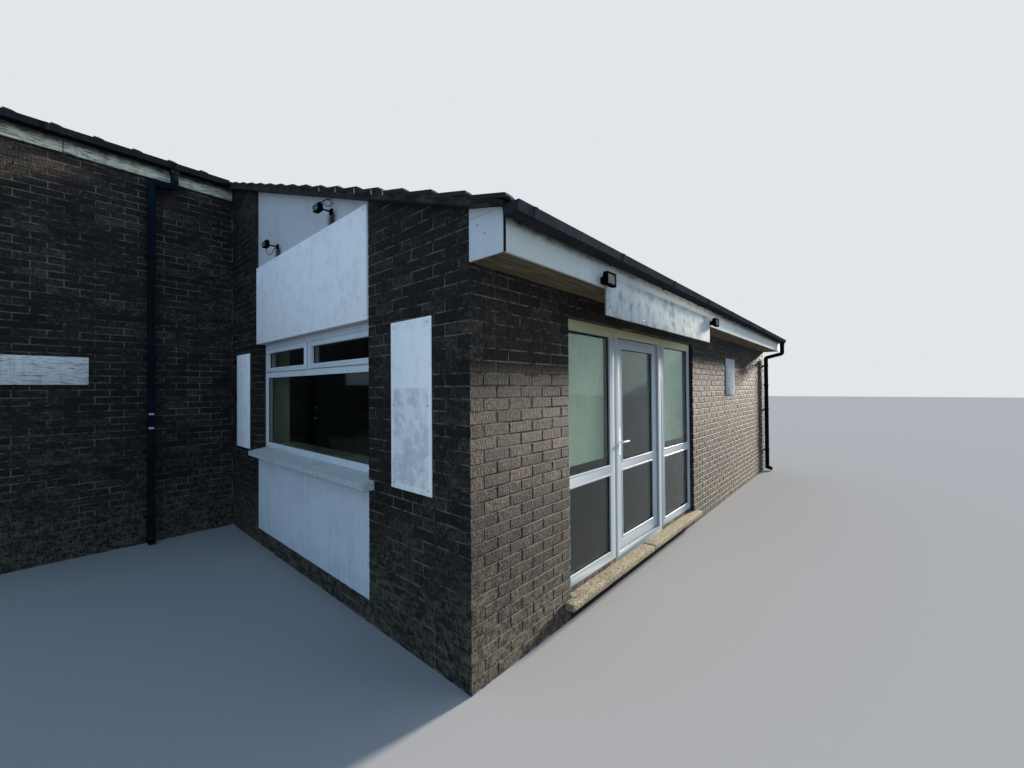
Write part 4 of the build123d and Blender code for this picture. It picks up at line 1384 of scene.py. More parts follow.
    def verge(self, name: str, x: float, outward: int, start_y: float, end_y: float, rear: bool,
              seed: int) -> None:
        """Mortar bedding under the edge tiles of a verge, rough and a little set back."""
        inner, outer = x - outward * self.verge_width, x - outward * self.verge_setback
        run = (end_y - start_y) / math.cos(SITE.pitch)
        bed = Bench.box(name, (min(inner, outer), 0, self.deck - 0.004),
                        (max(inner, outer), run, self.pan_nose - 0.012))
        with Bench.editing(bed, "EDGE"):
            Bench.pick_edges(bed, lambda edge: abs(edge.verts[0].co.y - edge.verts[1].co.y) > 0.1)
            bpy.ops.mesh.subdivide(number_cuts=round(run / 0.05))
            Bench.shake(self.verge_rough, seed)
        points = np.array([vertex.co for vertex in bed.data.vertices], float)
        placed = self.slope_points(points, 0.0, start_y, 0.0, False)
        if rear:
            placed[:, 1] = 2 * SITE.ridge_y - placed[:, 1]
        bed.data.vertices.foreach_set("co", placed.astype(np.float32).ravel())
        bed.data.update()
        if rear:
            with Bench.editing(bed):
                bpy.ops.mesh.select_all(action="SELECT")
                bpy.ops.mesh.flip_normals()
        Bench.dress(bed, VERGE_MORTAR, "roof_tile")

    def clips(self) -> None:
        """Small pale verge clips on the edge of the shop roof."""
        pieces = []
        for number, offset in enumerate(self.clip_ys):
            y = SITE.front_y + offset
            foot = SITE.underside(y) + 0.030
            x = SITE.verge_left
            clip = Bench.box(f"clip_{number}", (x - 0.0005, y - 0.004, foot),
                             (x + 0.010, y + 0.004, foot + 0.034))
            with Bench.editing(clip):
                Bench.pick_faces(clip, lambda face: face.normal.z > SQUARE)
                bpy.ops.mesh.extrude_region_move(TRANSFORM_OT_translate={"value": (0.006, 0, 0.012)})
            Bench.round_edges(clip, 0.0015, 1)
            pieces.append(clip)
        Bench.dress(Bench.join("verge_clips", pieces), PAINT_DAB, "white_paint")

    def build(self) -> None:
        """Make the decks, the tiles of the three slopes, the ridge and the verges."""
        left_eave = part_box("roof_main_front")[0].y
        shift = (self.bed + self.nose) * math.sin(SITE.pitch)
        left_nose = left_eave + shift
        front_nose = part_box("roof_shop")[0].y + shift
        for node, rear in (("roof_shop", False), ("roof_main_front", False), ("roof_main_rear", True)):
            self.deck_piece(node, rear)
        self.lay("shop_roof_tiles", front_nose, left_nose, SITE.verge_left, SITE.verge_right, False, 21)
        self.lay("main_front_tiles", left_nose, SITE.ridge_y, SITE.left_x, SITE.verge_right, False, 22)
        self.lay("main_rear_tiles", left_nose, SITE.ridge_y, SITE.left_x, SITE.verge_right, True, 23)
        self.ridge()
        self.ridge_bed()
        self.verge("near_verge_bedding", SITE.verge_left, -1, front_nose + 0.02, left_nose, False, 41)
        self.verge("right_verge_bedding", SITE.verge_right, 1, front_nose + 0.02, SITE.ridge_y, False, 42)
        self.verge("rear_verge_bedding", SITE.verge_right, 1, left_nose + 0.02, SITE.ridge_y, True, 43)
        self.clips()


@dataclass
class BoxEave:
    """Boxed eave over the shop front: fascia, soffit boards and end panels."""

    board_length: float = 1.22
    board_rows: int = 3
    first_joint: float = 0.409
    joint_gap: float = 0.004
    seam_z: float = 2.672
    seam_gap: float = 0.002
    nail_spots: tuple[tuple[float, float], ...] = ((0.070, 2.625), (0.125, 2.568))

    def soffit(self) -> None:
        """Rows of narrow soffit boards with open joints between them."""
        low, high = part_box("front_soffit")
        cuts = [low.x]
        joint = SITE.corner_x + self.first_joint
        while joint < high.x - 0.1:
            cuts.append(joint)
            joint += self.board_length
        cuts.append(high.x)
        boards = []
        gap, wide = self.joint_gap / 2, (high.y - low.y) / self.board_rows
        for a, b in zip(cuts, cuts[1:]):
            for row in range(self.board_rows):
                near = low.y + row * wide
                boards.append(Bench.slab("board", (a + gap, near + gap / 2, low.z),
                                         (b - gap, near + wide - gap / 2, high.z), 0.0015))
        Bench.dress(Bench.join("soffit_boards", boards), SOFFIT, "soffit_board",
                    replaced=["front_soffit"])

    def ends(self) -> None:
        """The end panels of the box, each in two sheets that meet at a seam."""
        lower = Bench.copy_node("eave_box_ends", "end_lower")
        upper = Bench.copy_node("eave_box_ends", "end_upper")
        Bench.trim(lower, (0, 0, self.seam_z - self.seam_gap / 2), (0, 0, 1))
        Bench.trim(upper, (0, 0, self.seam_z + self.seam_gap / 2), (0, 0, -1))
        for sheet in (lower, upper):
            Bench.round_edges(sheet, 0.0012, 1)
        Bench.dress(Bench.join("eave_end_panels", [lower, upper]), END_PANEL, "white_paint",
                    replaced=["eave_box_ends"])

    def fascia(self) -> None:
        """The fascia board, whose ends are painted near black: dark end grain with painted shade on it."""
        board = Bench.softened("front_fascia", 0.002)
        Bench.paint_faces(board, FASCIA_PAINT, SHADE_AND_END_GRAIN, lambda face: abs(face.normal.x) > SQUARE)
        Bench.dress(board, FASCIA_PAINT, "white_paint", replaced=["front_fascia"])

    def nails(self) -> None:
        """The nail heads that show in the near end panel."""
        x = SITE.corner_x
        heads = []
        for number, (back, z) in enumerate(self.nail_spots):
            y = SITE.front_y - back
            heads.append(Bench.rod(f"nail_{number}", (x - 0.0012, y, z), (x + 0.001, y, z), 0.005, 10))
        Bench.dress(Bench.join("end_panel_nails", heads), GALVANISED, "white_paint")

    def build(self) -> None:
        """Make the eave's boards."""
        self.fascia()
        self.soffit()
        self.ends()
        self.nails()


@dataclass
class FlushFascias:
    """Fascias fixed to the face of the taller block, in lengths that butt."""

    left_joint: float = -1.479
    rear_lengths: float = 2.4
    gap: float = 0.007
    edge: float = 0.002

    def boards(self, node: str, joints: Sequence[float], finish: Finish) -> None:
        """A fascia cut at its joints into separate boards."""
        boards = Bench.lengths(node, Axis.X, joints, self.gap, self.edge)
        Bench.dress(Bench.join(node + "_boards", boards), finish, "white_paint", replaced=[node])

    def build(self) -> None:
        """Make the left and the rear fascia."""
        self.boards("left_fascia", [SITE.corner_x + self.left_joint], FLAKED_PAINT)
        low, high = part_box("rear_fascia")
        count = round((high.x - low.x) / self.rear_lengths)
        pitch = (high.x - low.x) / count
        self.boards("rear_fascia", [low.x + pitch * k for k in range(1, count)], FASCIA_PAINT)


@dataclass
class RainwaterGoods:
    """Gutters and downpipes of moulded plastic, with sockets at their joints."""

    pipe: float = 0.065
    socket_wall: float = 0.0035
    socket_height: float = 0.055
    lip: float = 0.013
    lip_depth: float = 0.012
    pipe_gap: float = 0.022
    pipe_middle: float = 0.0595
    front_joints: tuple[float, ...] = (1.72,)
    left_joints: tuple[float, ...] = (3.747, 3.097)
    rear_joints: tuple[float, ...] = (3.2, 1.6)
    pipe_marks: tuple[float, ...] = (1.461, 1.303)

    def socket(self, node: str, x: float, back_y: float, front_y: float, z: float) -> Piece:
        """A socket where two lengths of pipe meet."""
        half = self.pipe / 2 + self.socket_wall
        collar = Bench.box(f"{node}_socket", (x - half, min(back_y, front_y) - self.socket_wall, z),
                           (x + half, max(back_y, front_y) + self.socket_wall, z + self.socket_height))
        with Bench.editing(collar):
            Bench.pick_faces(collar, lambda face: face.normal.z < -SQUARE)
            bpy.ops.mesh.inset(thickness=self.socket_wall)
            bpy.ops.mesh.extrude_region_move(TRANSFORM_OT_translate={"value": (0, 0, 0.004)})
        Bench.round_edges(collar, 0.0015, 1)
        return collar

    def downpipe(self, node: str, finish: Finish, x: float, wall_y: float, facing: int,
                 joints: Sequence[float]) -> None:
        """A downpipe with its sockets."""
        pieces = [Bench.softened(node, 0.0025)]
        back = wall_y + facing * self.pipe_gap
        front = wall_y + facing * (self.pipe_gap + self.pipe)
        pieces += [self.socket(node, x, back, front, z) for z in joints]
        Bench.dress(Bench.join(node + "_finished", pieces), finish, "pipe_plastic", replaced=[node])

    def marks(self) -> None:
        """Dabs of pale paint on the left pipe."""
        pipe_low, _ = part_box("left_downpipe")
        front = SITE.step_back_y - self.pipe_gap - self.pipe
        middle = pipe_low.x + self.pipe_middle
        marks = [Bench.slab(f"pipe_mark_{number}", (middle - 0.024, front - 0.0008, z - 0.011),
                            (middle + 0.024, front + 0.002, z + 0.011), 0.0006)
                 for number, z in enumerate(self.pipe_marks)]
        Bench.dress(Bench.join("paint_marks", marks), PAINT_DAB, "pipe_plastic")

    def gutter(self, node: str, finish: Finish, lip: float, facing: int) -> None:
        """A gutter, with the lip of its outer side drawn up.

        Args:
            node: the gutter's node.
            finish: its finish.
            lip: how far the lip is drawn up.
            facing: 1 if its outer side faces +Y, or -1.
        """
        gutter = Bench.softened(node, 0.0012, 1)
        low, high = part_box(node)
        outer = high.y if facing > 0 else low.y
        if lip > 0:
            with Bench.editing(gutter, "VERT"):
                mesh = bmesh.from_edit_mesh(gutter.data)
                for vertex in mesh.verts:
                    near = abs(vertex.co.y - outer) < self.lip_depth and vertex.co.z > high.z - self.lip_depth
                    vertex.select_set(near)
                mesh.select_flush_mode()
                bmesh.update_edit_mesh(gutter.data)
                bpy.ops.transform.translate(value=(0, 0, lip))
        Bench.dress(gutter, finish, "gutter_plastic", replaced=[node])

    def build(self) -> None:
        """Make the three gutters and the three pipes."""
        self.gutter("front_gutter", FRONT_GUTTER_DUST_AND_SHEEN, 0.0, -1)
        self.gutter("left_gutter", GUTTER, self.lip, -1)
        self.gutter("rear_gutter", GUTTER, self.lip, 1)
        front_low, front_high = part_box("front_downpipe")
        front_x = (front_low.x + front_high.x) / 2
        left_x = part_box("left_downpipe")[0].x + self.pipe_middle
        self.downpipe("front_downpipe", DARK_PIPE, front_x, SITE.front_y, -1, self.front_joints)
        self.downpipe("left_downpipe", PIPE, left_x, SITE.step_back_y, -1, self.left_joints)
        self.downpipe("rear_downpipe", PIPE, front_x, SITE.rear_y, 1, self.rear_joints)
        self.marks()


@dataclass
class Glazing:
    """Beads and gaskets round panes of glass."""

    bead: float = 0.015
    proud: float = 0.0022
    gasket: float = 0.0035
    edge: float = 0.0014

    def around(self, name: str, low: Vector, high: Vector, axis: Axis, face: float,
               glass: float) -> tuple[Piece, ...]:
        """A bead on the frame round an opening, and a gasket in it.

        Args:
            name: name for the parts.
            low: lowest corner of the opening.
            high: highest corner of the opening.
            axis: direction that the pane faces.
            face: place of the frame's face along that axis.
            glass: place of the glass along that axis.

        Returns:
            The bead and the gasket.
        """
        wide = Vector([self.bead if other != axis.value else 0.0 for other in range(3)])
        near, far = low - wide, high + wide
        near[axis.value], far[axis.value] = face - self.proud, face + 0.002
        bead = Bench.ring(name + "_bead", near, far, axis, self.bead, self.edge)
        near, far = low.copy(), high.copy()
        near[axis.value], far[axis.value] = glass - 0.006, glass
        return bead, Bench.ring(name + "_gasket", near, far, axis, self.gasket, 0.0008)

    def dress(self, name: str, panes: Sequence[tuple[Vector, Vector]], axis: Axis, faces: Sequence[float],
              bite: float, finish: Finish, body: Body) -> None:
        """Bead every pane of a glass node, whose edges are hidden by a bite."""
        hidden = Vector([bite if other != axis.value else 0.0 for other in range(3)])
        made = []
        for number, ((low, high), face) in enumerate(zip(panes, faces)):
            made.append(self.around(f"{name}_{number}", low + hidden, high - hidden, axis, face,
                                    low[axis.value]))
        Bench.dress(Bench.join(name + "_beads", [pair[0] for pair in made]), finish, "white_frame", body)
        Bench.dress(Bench.join(name + "_gaskets", [pair[1] for pair in made]), GASKET, "white_frame", body)


@dataclass
class Shopfront:
    """Shopfront lights, door frame, hinged leaf, lever, step and what shows behind the glass."""

    glazing: Glazing = field(default_factory=Glazing)
    bite: float = 0.010
    film_back: float = 0.030
    film_foot: float = 1.100
    film_head: float = 2.160
    film_margin: float = 0.014
    film_thickness: float = 0.003
    film_wave: float = 0.002
    step_joint: float = 2.370
    step_gap: float = 0.004
    step_edge: float = 0.007
    step_cell: float = 0.045
    step_rough: float = 0.0009
    seal_edge: float = 0.0008
    mastic_and_shade_width: float = 0.008
    packing_and_shade_height: float = 0.040

    def lights(self) -> None:
        """The fixed lights with their beads."""
        for node in ("shopfront_left_light", "shopfront_right_light", "door_frame"):
            Bench.dress(Bench.softened(node, 0.0025), SHOP_FRAME, "white_frame", replaced=[node])
        panes = islands("shopfront_glass")
        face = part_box("shopfront_left_light")[0].y
        self.glazing.dress("shopfront", panes, Axis.Y, [face] * len(panes), self.bite, SHOP_FRAME,
                           Body.BUILDING)

    def leaf(self) -> None:
        """The hinged leaf, its beads and its lever."""
        Bench.dress(Bench.softened("door_leaf", 0.003), SHOP_FRAME, "white_frame", Body.DOOR, ["door_leaf"])
        panes = islands("door_glass")
        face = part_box("door_leaf")[0].y
        self.glazing.dress("door", panes, Axis.Y, [face] * len(panes), self.bite, SHOP_FRAME, Body.DOOR)
        lever = Bench.softened("door_handle", 0.0008, 1)
        Bench.dress(lever, WHITE_METAL, "white_metal", Body.DOOR, ["door_handle"])

    def mastic(self) -> None:
        """Dark mastic between the frames and the brickwork, at the right and under the head, which is also
        painted shade for the deep joint there.
        """
        left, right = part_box("shopfront_left_light")[0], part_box("shopfront_right_light")[1]
        front = left.y - 0.002
        end = (right.x, left.y, right.z)
        side = Bench.slab("mastic_side", (right.x - self.mastic_and_shade_width, front, left.z), end, self.seal_edge)
        head = Bench.slab("mastic_head", (left.x, front, right.z - self.mastic_and_shade_width / 2), end,
                          self.seal_edge)
        Bench.dress(Bench.join("frame_mastic_and_shade", [side, head]), GASKET, "white_frame")

    def lintel(self) -> None:
        """The rusty flange of the steel lintel that shows below the brickwork."""
        left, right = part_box("shopfront_left_light")[0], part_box("shopfront_right_light")[1]
        low = (left.x + 0.001, SITE.front_y + 0.002, right.z + 0.0002)
        flange = Bench.box("lintel_flange", low, (right.x - 0.001, left.y + 0.05, right.z + 0.0028))
        Bench.dress(flange, LINTEL, "brick")

    def packing(self) -> None:
        """Dark packing under the lights, below their white rails, which is also painted shade for the gap
        there.
        """
        strips = []
        for node in ("shopfront_left_light", "shopfront_right_light"):
            low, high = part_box(node)
            strips.append(Bench.slab(node + "_packing", (low.x, low.y - 0.0015, low.z),
                                     (high.x, low.y, low.z + self.packing_and_shade_height), self.seal_edge))
        Bench.dress(Bench.join("light_packing_and_shade", strips), WALL_MORTAR, "white_frame")

    def films(self) -> None:
        """Pale sheets that stand behind the upper panes."""
        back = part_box("shopfront_glass")[1].y + self.film_back
        panes = [pane for pane in islands("shopfront_glass") if pane[1].z > 2.0]
        sheets = []
        for number, (low, high) in enumerate(panes):
            sheet = Bench.box(f"film_{number}", (low.x + self.film_margin, back, self.film_foot),
                              (high.x - self.film_margin, back + self.film_thickness, self.film_head))
            with Bench.editing(sheet, "VERT"):
                bpy.ops.mesh.select_all(action="SELECT")
                bpy.ops.mesh.subdivide(number_cuts=6)
                Bench.shake(self.film_wave, 50 + number)
            sheets.append(sheet)
        Bench.dress(Bench.join("window_backing_sheets", sheets), FILM, "glass")

    def step(self) -> None:
        """The threshold step, cast in two lengths with rough rounded edges."""
        low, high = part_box("threshold_step")
        joint = SITE.corner_x + self.step_joint
        slabs = Bench.lengths("threshold_step", Axis.X, [joint], self.step_gap, self.step_edge)
        for number, (slab, start, end) in enumerate(zip(slabs, (low.x, joint), (joint, high.x))):
            with Bench.editing(slab, "VERT"):
                for first, last, axis in ((start, end, Axis.X), (low.y, high.y, Axis.Y)):
                    for cut in range(1, math.floor((last - first) / self.step_cell)):
                        place = axis.vector(first + cut * self.step_cell)
                        bpy.ops.mesh.select_all(action="SELECT")
                        bpy.ops.mesh.bisect(plane_co=place, plane_no=axis.vector(1))
                Bench.shake(self.step_rough, 60 + number)
        Bench.dress(Bench.join("step_slabs", slabs), STEP_CONCRETE, "concrete",
                    replaced=["threshold_step"])

    def build(self) -> None:
        """Make the shopfront."""
        self.lights()
        self.leaf()
        self.mastic()
        self.lintel()
        self.packing()
        self.films()
        self.step()


@dataclass
class GableBay:
    """Bay in the gable: render panels, window, sill and the blind behind the glass."""

    glazing: Glazing = field(default_factory=Glazing)
    sill_joint: float = 2.0
    sill_gap: float = 0.006
    sill_edge: float = 0.004
    sill_rough: float = 0.0012
    slat_count: int = 9
    slat_width: float = 0.089
    slat_pitch: float = 0.026
    slat_thickness: float = 0.0012
    slat_bow: float = 0.006
    blind_x: float = 0.20
    seal: float = 0.004

    def panels(self) -> None:
        """The render panels above and below the window, stained under the lamps."""
        stains = tuple(((low.y + high.y) / 2, low.z) for low, high in islands("gable_floodlights"))
        upper = RenderPanel("upper_panel", srgb(192, 196, 198), srgb(136, 142, 144), stains)
        lower = RenderPanel("lower_panel", srgb(204, 210, 214), srgb(140, 148, 150))
        for node, finish in (("gable_panel_upper", upper), ("gable_panel_lower", lower)):
            Bench.dress(Bench.softened(node, 0.002, 1), finish, "painted_panel", replaced=[node])

    def window(self) -> None:
        """Frame, sashes, beads and gaskets of the window."""
        for node in ("window_frame", "window_sashes"):
            Bench.dress(Bench.softened(node, 0.0028), WINDOW_FRAME, "white_frame", replaced=[node])
        frame_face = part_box("window_frame")[0].x
        sash_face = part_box("window_sashes")[0].x
        panes = islands("window_glass")
        faces = [frame_face if high.z < 1.9 else sash_face for _, high in panes]
        self.glazing.dress("window", panes, Axis.X, faces, 0.0, WINDOW_FRAME, Body.BUILDING)
        seals = []
        for number, (low, high) in enumerate(islands("window_sashes")):
            near = (frame_face - 0.0012, low.y - self.seal, low.z - self.seal)
            far = (frame_face + 0.001, high.y + self.seal, high.z + self.seal)
            seals.append(Bench.ring(f"sash_seal_{number}", near, far, Axis.X, self.seal, 0.0004))
        Bench.dress(Bench.join("sash_seals", seals), GASKET, "white_frame")

    def sill(self) -> None:
        """The weathered sill in two lengths, with an open joint between them."""
        joint = SITE.front_y + self.sill_joint
        halves = Bench.lengths("window_sill", Axis.Y, [joint], self.sill_gap, self.sill_edge, 1)
        for number, length in enumerate(halves):
            with Bench.editing(length, "VERT"):
                bpy.ops.mesh.select_all(action="SELECT")
                for _ in range(3):
                    bpy.ops.mesh.quads_convert_to_tris()
                    bpy.ops.mesh.subdivide(number_cuts=1)
                Bench.shake(self.sill_rough, 70 + number)
        Bench.dress(Bench.join("sill_lengths", halves), SILL_CONCRETE, "concrete",
                    replaced=["window_sill"])

    def blind(self) -> None:
        """Slats of a vertical blind, drawn together at the far side of the window."""
        low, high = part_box("window_glass")
        x = SITE.corner_x + self.blind_x
        slats = []
        for number in range(self.slat_count):
            y = high.y - 0.03 - number * self.slat_pitch
            slat = Bench.box(f"slat_{number}", (x - self.slat_width / 2, y, low.z - 0.02),
                             (x + self.slat_width / 2, y + self.slat_thickness, high.z + 0.03))
            with Bench.editing(slat, "EDGE"):
                Bench.pick_edges(slat, lambda edge: abs(edge.verts[0].co.x - edge.verts[1].co.x) > 0.05)
                bpy.ops.mesh.subdivide(number_cuts=4)
            for vertex in slat.data.vertices:
                vertex.co.y += self.slat_bow * (1 - ((vertex.co.x - x) / (self.slat_width / 2)) ** 2)
            slats.append(slat)
        slats.append(Bench.slab("rail", (x - 0.02, low.y, high.z + 0.03),
                                (x + 0.02, high.y, high.z + 0.055), 0.003))
        Bench.dress(Bench.join("blind_slats", slats), COUNTER, "white_frame")

    def build(self) -> None:
        """Make the bay."""
        self.panels()
        self.window()
        self.sill()
        self.blind()


@dataclass
class Boards:
    """Bare sign boards with their fixing screws."""

    screw_radius: float = 0.006
    screw_rise: float = 0.002
    edge: float = 0.035

    def spread(self, low: float, high: float, count: int) -> list[float]:
        """Places of a row of screws between two edges of a board."""
        reach = high - low - 2 * self.edge
        return [low + self.edge + number / (count - 1) * reach for number in range(count)]

    def screws(self, name: str, spots: Sequence[Vector], axis: Axis, slot: str) -> None:
        """Domed screw heads on a board."""
        heads = []
        out = axis.vector(-self.screw_rise)
        for number, spot in enumerate(spots):
            head = Bench.rod(f"screw_{number}", spot - out, spot + out, self.screw_radius, 10)
            Bench.round_edges(head, 0.0012, 1)
            heads.append(head)
        Bench.dress(Bench.join(name, heads), GALVANISED, slot)

    def board(self, node: str, axis: Axis, finish: Finish, slot: str, columns: int, rows: int,
              edge: float = 0.0015) -> None:
        """A board with rows of screws near its edges."""
        Bench.dress(Bench.softened(node, edge), finish, slot, replaced=[node])
        low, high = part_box(node)
        wide = Axis.Y if axis is Axis.X else Axis.X
        spots = []
        for across in self.spread(low[wide.value], high[wide.value], columns):
            for up in self.spread(low.z, high.z, rows):
                spot = Vector(low)
                spot[wide.value] = across
                spot.z = up
                spots.append(spot)
        self.screws(node + "_screws", spots, axis, slot)

    def build(self) -> None:
        """Make the six boards."""
        self.board("fascia_sign", Axis.Y, FASCIA_SIGN, "sign_face", 5, 2)
        self.board("gable_sign", Axis.X, SIGN_WHITE, "sign_face", 5, 2)
        self.board("specials_board", Axis.X, SPECIALS_WHITE, "sign_face", 2, 3, 0.001)
        self.board("narrow_board", Axis.X, SIGN_WHITE, "sign_face", 2, 3, 0.001)
        self.board("wall_plaque", Axis.Y, PLAQUE_GREY_AND_SHADE, "sign_face", 2, 2, 0.001)
        self.board("faded_board", Axis.Y, FADED, "faded_paint", 2, 2, 0.003)


@dataclass
class Floodlights:
    """Black floodlights with bezels, lenses and short slack cables."""

    bezel: float = 0.014
    gable_bezel: float = 0.006
    lens_depth: float = 0.003
    cable_radius: float = 0.003
    near_route: tuple[Place, ...] = (
        (0.030, 0.010, -0.030), (0.044, 0.016, -0.008), (0.054, 0.022, 0.016), (0.074, 0.012, 0.042),
        (0.104, -0.010, 0.056), (0.130, -0.030, 0.036), (0.124, -0.034, -0.004), (0.094, -0.024, -0.020),
        (0.068, -0.004, -0.002), (0.072, 0.012, 0.034), (0.098, 0.014, 0.060), (0.124, 0.006, 0.068),
        (0.148, 0.000, 0.070))
    far_route: tuple[Place, ...] = (
        (0.030, 0.000, -0.056), (0.032, 0.000, -0.080), (0.032, 0.008, -0.108), (0.044, 0.014, -0.136),
        (0.070, 0.012, -0.140), (0.088, 0.004, -0.118), (0.094, -0.004, -0.088), (0.106, -0.006, -0.062),
        (0.124, -0.006, -0.052), (0.142, -0.004, -0.050))

    def lens_in(self, piece: Piece, lens: Finish, axis: Axis, margin: float,
                smallest: float) -> None:
        """Inset the faces that look out along an axis, and glaze what lies inside.

        Args:
            piece: the lamps.
            lens: the lens's finish.
            axis: direction that the lenses face, towards its low end.
            margin: width of the bezel.
            smallest: least area of a face that holds a lens.
        """
        piece.data.materials.append(LAMP_BLACK.material())
        piece.data.materials.append(lens.material())
        with Bench.editing(piece):
            Bench.pick_faces(piece, lambda face: face.normal[axis.value] < -SQUARE
                             and face.calc_area() > smallest)
            bpy.ops.mesh.inset(thickness=margin, depth=-self.lens_depth, use_individual=True)
            piece.active_material_index = 1
            bpy.ops.object.material_slot_assign()

    def cable(self, name: str, start: Vector, route: Sequence[Place]) -> Piece:
        """A slack cable from inside a lamp into the wall, by a route from the lamp's top front."""
        Bench.clear()
        bpy.ops.curve.primitive_nurbs_path_add(location=(0, 0, 0))
        holder = bpy.context.object
        curve = holder.data
        spline = curve.splines[0]
        spline.points.add(len(route) - len(spline.points))
        for point, offset in zip(spline.points, route):
            point.co = (*(start + Vector(offset)), 1.0)
        spline.use_endpoint_u = True
        curve.bevel_depth = self.cable_radius
        curve.bevel_resolution = 2
        curve.resolution_u = 4
        curve.use_fill_caps = True
        log.info("%s is %.3f m long", name, spline.calc_length())
        bpy.ops.object.convert(target="MESH")
        bpy.ops.object.shade_smooth()
        return Bench.settle(name)

    def gable(self) -> None:
        """The two floodlights on their arms over the bay."""
        lamps = Bench.softened("gable_floodlights", 0.0015, 1)
        self.lens_in(lamps, LAMP_LENS, Axis.X, self.gable_bezel, 0.002)
        Bench.dress(lamps, LAMP_BLACK, "lamp_black", replaced=["gable_floodlights"])
        far, near = (Vector((low.x, (low.y + high.y) / 2, high.z))
                     for low, high in islands("gable_floodlights"))
        cables = [self.cable("near_cable", near, self.near_route),
                  self.cable("far_cable", far, self.far_route)]
        Bench.dress(Bench.join("lamp_cables", cables), GASKET, "lamp_black")

    def fascia(self) -> None:
        """The two square floodlights on the fascia."""
        lamps = Bench.softened("fascia_floodlights", 0.002, 1)
        self.lens_in(lamps, PANE_LENS, Axis.Y, self.bezel, 0.008)
        Bench.dress(lamps, LAMP_BLACK, "lamp_black", replaced=["fascia_floodlights"])

    def build(self) -> None:
        """Make the four lamps."""
        self.gable()
        self.fascia()


@dataclass
class Indoors:
    """What shows through the windows, and finishes for the nodes that keep their own mesh."""

    sill_depth: float = 0.18
    sill_low: float = 1.106
    sill_high: float = 1.130
    counter_low: tuple[float, float, float] = (-2.75, 2.55, 0.15)
    counter_high: tuple[float, float, float] = (-1.55, 3.15, 0.90)
    top_thickness: float = 0.035
    top_overhang: float = 0.02

    def sill_board(self) -> None:
        """The board inside the gable window, with a rounded front edge."""
        low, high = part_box("window_frame")
        board = Bench.slab("inner_sill_board", (high.x, low.y + 0.002, self.sill_low),
                           (high.x + self.sill_depth, high.y - 0.002, self.sill_high), 0.006, 3)
        Bench.dress(board, COUNTER, "white_frame")

    def counter(self) -> None:
        """The counter that shows deep in the shop, with an overhanging top."""
        body = Bench.box("counter_body", self.counter_low, self.counter_high)
        with Bench.editing(body):
            Bench.pick_faces(body, lambda face: face.normal.z > SQUARE)
            bpy.ops.mesh.extrude_region_move(TRANSFORM_OT_translate={"value": (0, 0, self.top_thickness)})
        with Bench.editing(body):
            Bench.pick_faces(body, lambda face: abs(face.normal.z) < 0.1
                             and face.calc_center_median().z > self.counter_high[2])
            bpy.ops.mesh.extrude_faces_move(TRANSFORM_OT_shrink_fatten={"value": -self.top_overhang})
        Bench.round_edges(body, 0.003, 1)
        Bench.dress(body, COUNTER, "white_frame")

    def build(self) -> None:
        """Paint the nodes that are shown as they are."""
        kept = {
            "floor_slab_shop": SCREED,
            "floor_slab_main": SCREED,
            "shopfront_glass": GLASS,
            "door_glass": GLASS,
            "window_glass": GLASS,
            "hinge_frame_leaves": STEEL,
            "hinge_door_leaves": STEEL,
        }
        for node, finish in kept.items():
            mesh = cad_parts[node].data
            mesh.materials.clear()
            mesh.materials.append(finish.material())
            log.info("painted %s", node)
        self.sill_board()
        self.counter()


@dataclass(frozen=True)
class SunLamp:
    """A soft distant lamp, by the degrees it stands from +X towards +Y and above the ground."""

    name: str
    turn: float
    height: float
    strength: float
    spread: float
    colour: tuple[float, float, float]
    glare: bool

    def hang(self) -> None:
        """Add the lamp, which glossy faces mirror only if it has glare."""
        lamp = bpy.data.lights.new(self.name, "SUN")
        lamp.energy = self.strength
        lamp.color = self.colour
        lamp.angle = math.radians(self.spread)
        holder = bpy.data.objects.new(self.name, lamp)
        holder.visible_glossy = self.glare
        a, b = math.radians(self.turn), math.radians(self.height)
        towards = Vector((math.cos(a) * math.cos(b), math.sin(a) * math.cos(b), math.sin(b)))
        holder.rotation_euler = towards.to_track_quat("Z", "Y").to_euler()
        bpy.context.scene.collection.objects.link(holder)


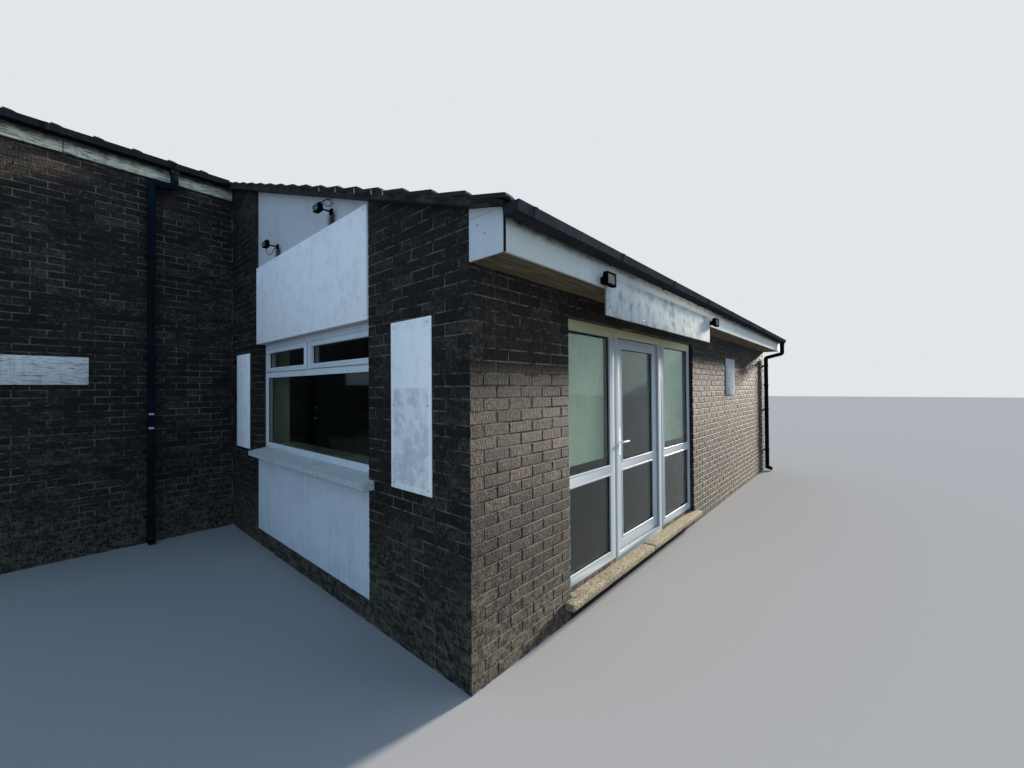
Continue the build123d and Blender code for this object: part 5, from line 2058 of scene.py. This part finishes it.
@dataclass
class Studio:
    """Floor, lights, world and the camera at the photograph's viewing angle."""

    floor_size: float = 160.0
    camera_place: tuple[float, float, float] = (-5.7173, -3.9371, 1.7225)
    lens: float = 14.336
    yaw: float = 41.421
    tilt: float = 0.607
    roll: float = -0.413
    sensor: float = 36.0
    clip_end: float = 400.0
    lamps: tuple[SunLamp, ...] = (
        SunLamp("key_lamp", -8.5, 15.0, 14.5, 7.0, (1.0, 0.89, 0.76), True),
        SunLamp("fill_lamp", -40.0, 26.0, 0.7, 60.0, (1.0, 0.97, 0.93), False))
    light: tuple[Colour, float] = (srgb(178, 210, 246), 1.0)
    mirrored: tuple[Colour, float] = (srgb(186, 216, 220), 0.58)
    shown: tuple[Colour, float] = (srgb(226, 230, 234), 1.0)

    def floor(self) -> None:
        """The pale floor."""
        Bench.clear()
        bpy.ops.mesh.primitive_plane_add(size=self.floor_size, location=(0, 0, 0))
        floor = Bench.settle("studio_floor")
        floor.data.materials.append(StudioFloor("studio_floor_finish").material())

    def world(self) -> None:
        """Plain surroundings: one to light by, one for mirrors, and one behind the building."""
        world = bpy.data.worlds.new("studio")
        bpy.context.scene.world = world
        graph = Graph(world, "ShaderNodeOutputWorld")
        seen, mirroring, passing = (graph.node("ShaderNodeLightPath", output=f"Is {kind} Ray")
                                    for kind in ("Camera", "Glossy", "Transmission"))
        light, mirrored, shown = (graph.node("ShaderNodeBackground", {}, {"Color": colour, "Strength": power})
                                  for colour, power in (self.light, self.mirrored, self.shown))
        lit = graph.node("ShaderNodeMixShader", {}, {0: mirroring, 1: light, 2: mirrored})
        through = graph.maths("MAXIMUM", seen, passing)
        graph.close(graph.node("ShaderNodeMixShader", {}, {0: through, 1: lit, 2: shown}))

    def camera(self) -> None:
        """The camera, turned as the photograph was taken."""
        yaw, tilt, roll = (math.radians(angle) for angle in (self.yaw, self.tilt, self.roll))
        ahead = Vector((math.cos(yaw) * math.cos(tilt), math.sin(yaw) * math.cos(tilt), math.sin(tilt)))
        level = Vector((math.sin(yaw), -math.cos(yaw), 0))
        upright = level.cross(ahead)
        right = math.cos(roll) * level + math.sin(roll) * upright
        up = -math.sin(roll) * level + math.cos(roll) * upright
        data = bpy.data.cameras.new("camera")
        data.sensor_width = self.sensor
        data.lens = self.lens
        data.clip_end = self.clip_end
        holder = bpy.data.objects.new("camera", data)
        turn = Matrix((right, up, -ahead)).transposed().to_4x4()
        holder.matrix_world = Matrix.Translation(self.camera_place) @ turn
        bpy.context.scene.collection.objects.link(holder)
        bpy.context.scene.camera = holder

    def build(self) -> None:
        """Set up the studio."""
        self.floor()
        for lamp in self.lamps:
            lamp.hang()
        self.world()
        self.camera()
        bpy.context.scene.view_settings.view_transform = "Standard"
        log.info("studio is set")


def main() -> None:
    """Build every part of the scene in order."""
    for part in (Studio, Indoors, Walls, TiledRoof, BoxEave, FlushFascias, RainwaterGoods, Shopfront,
                 GableBay, Boards, Floodlights):
        part().build()
        log.info("%s is built", part.__name__)
    Bench.clear()


if __name__ == "__main__":
    main()
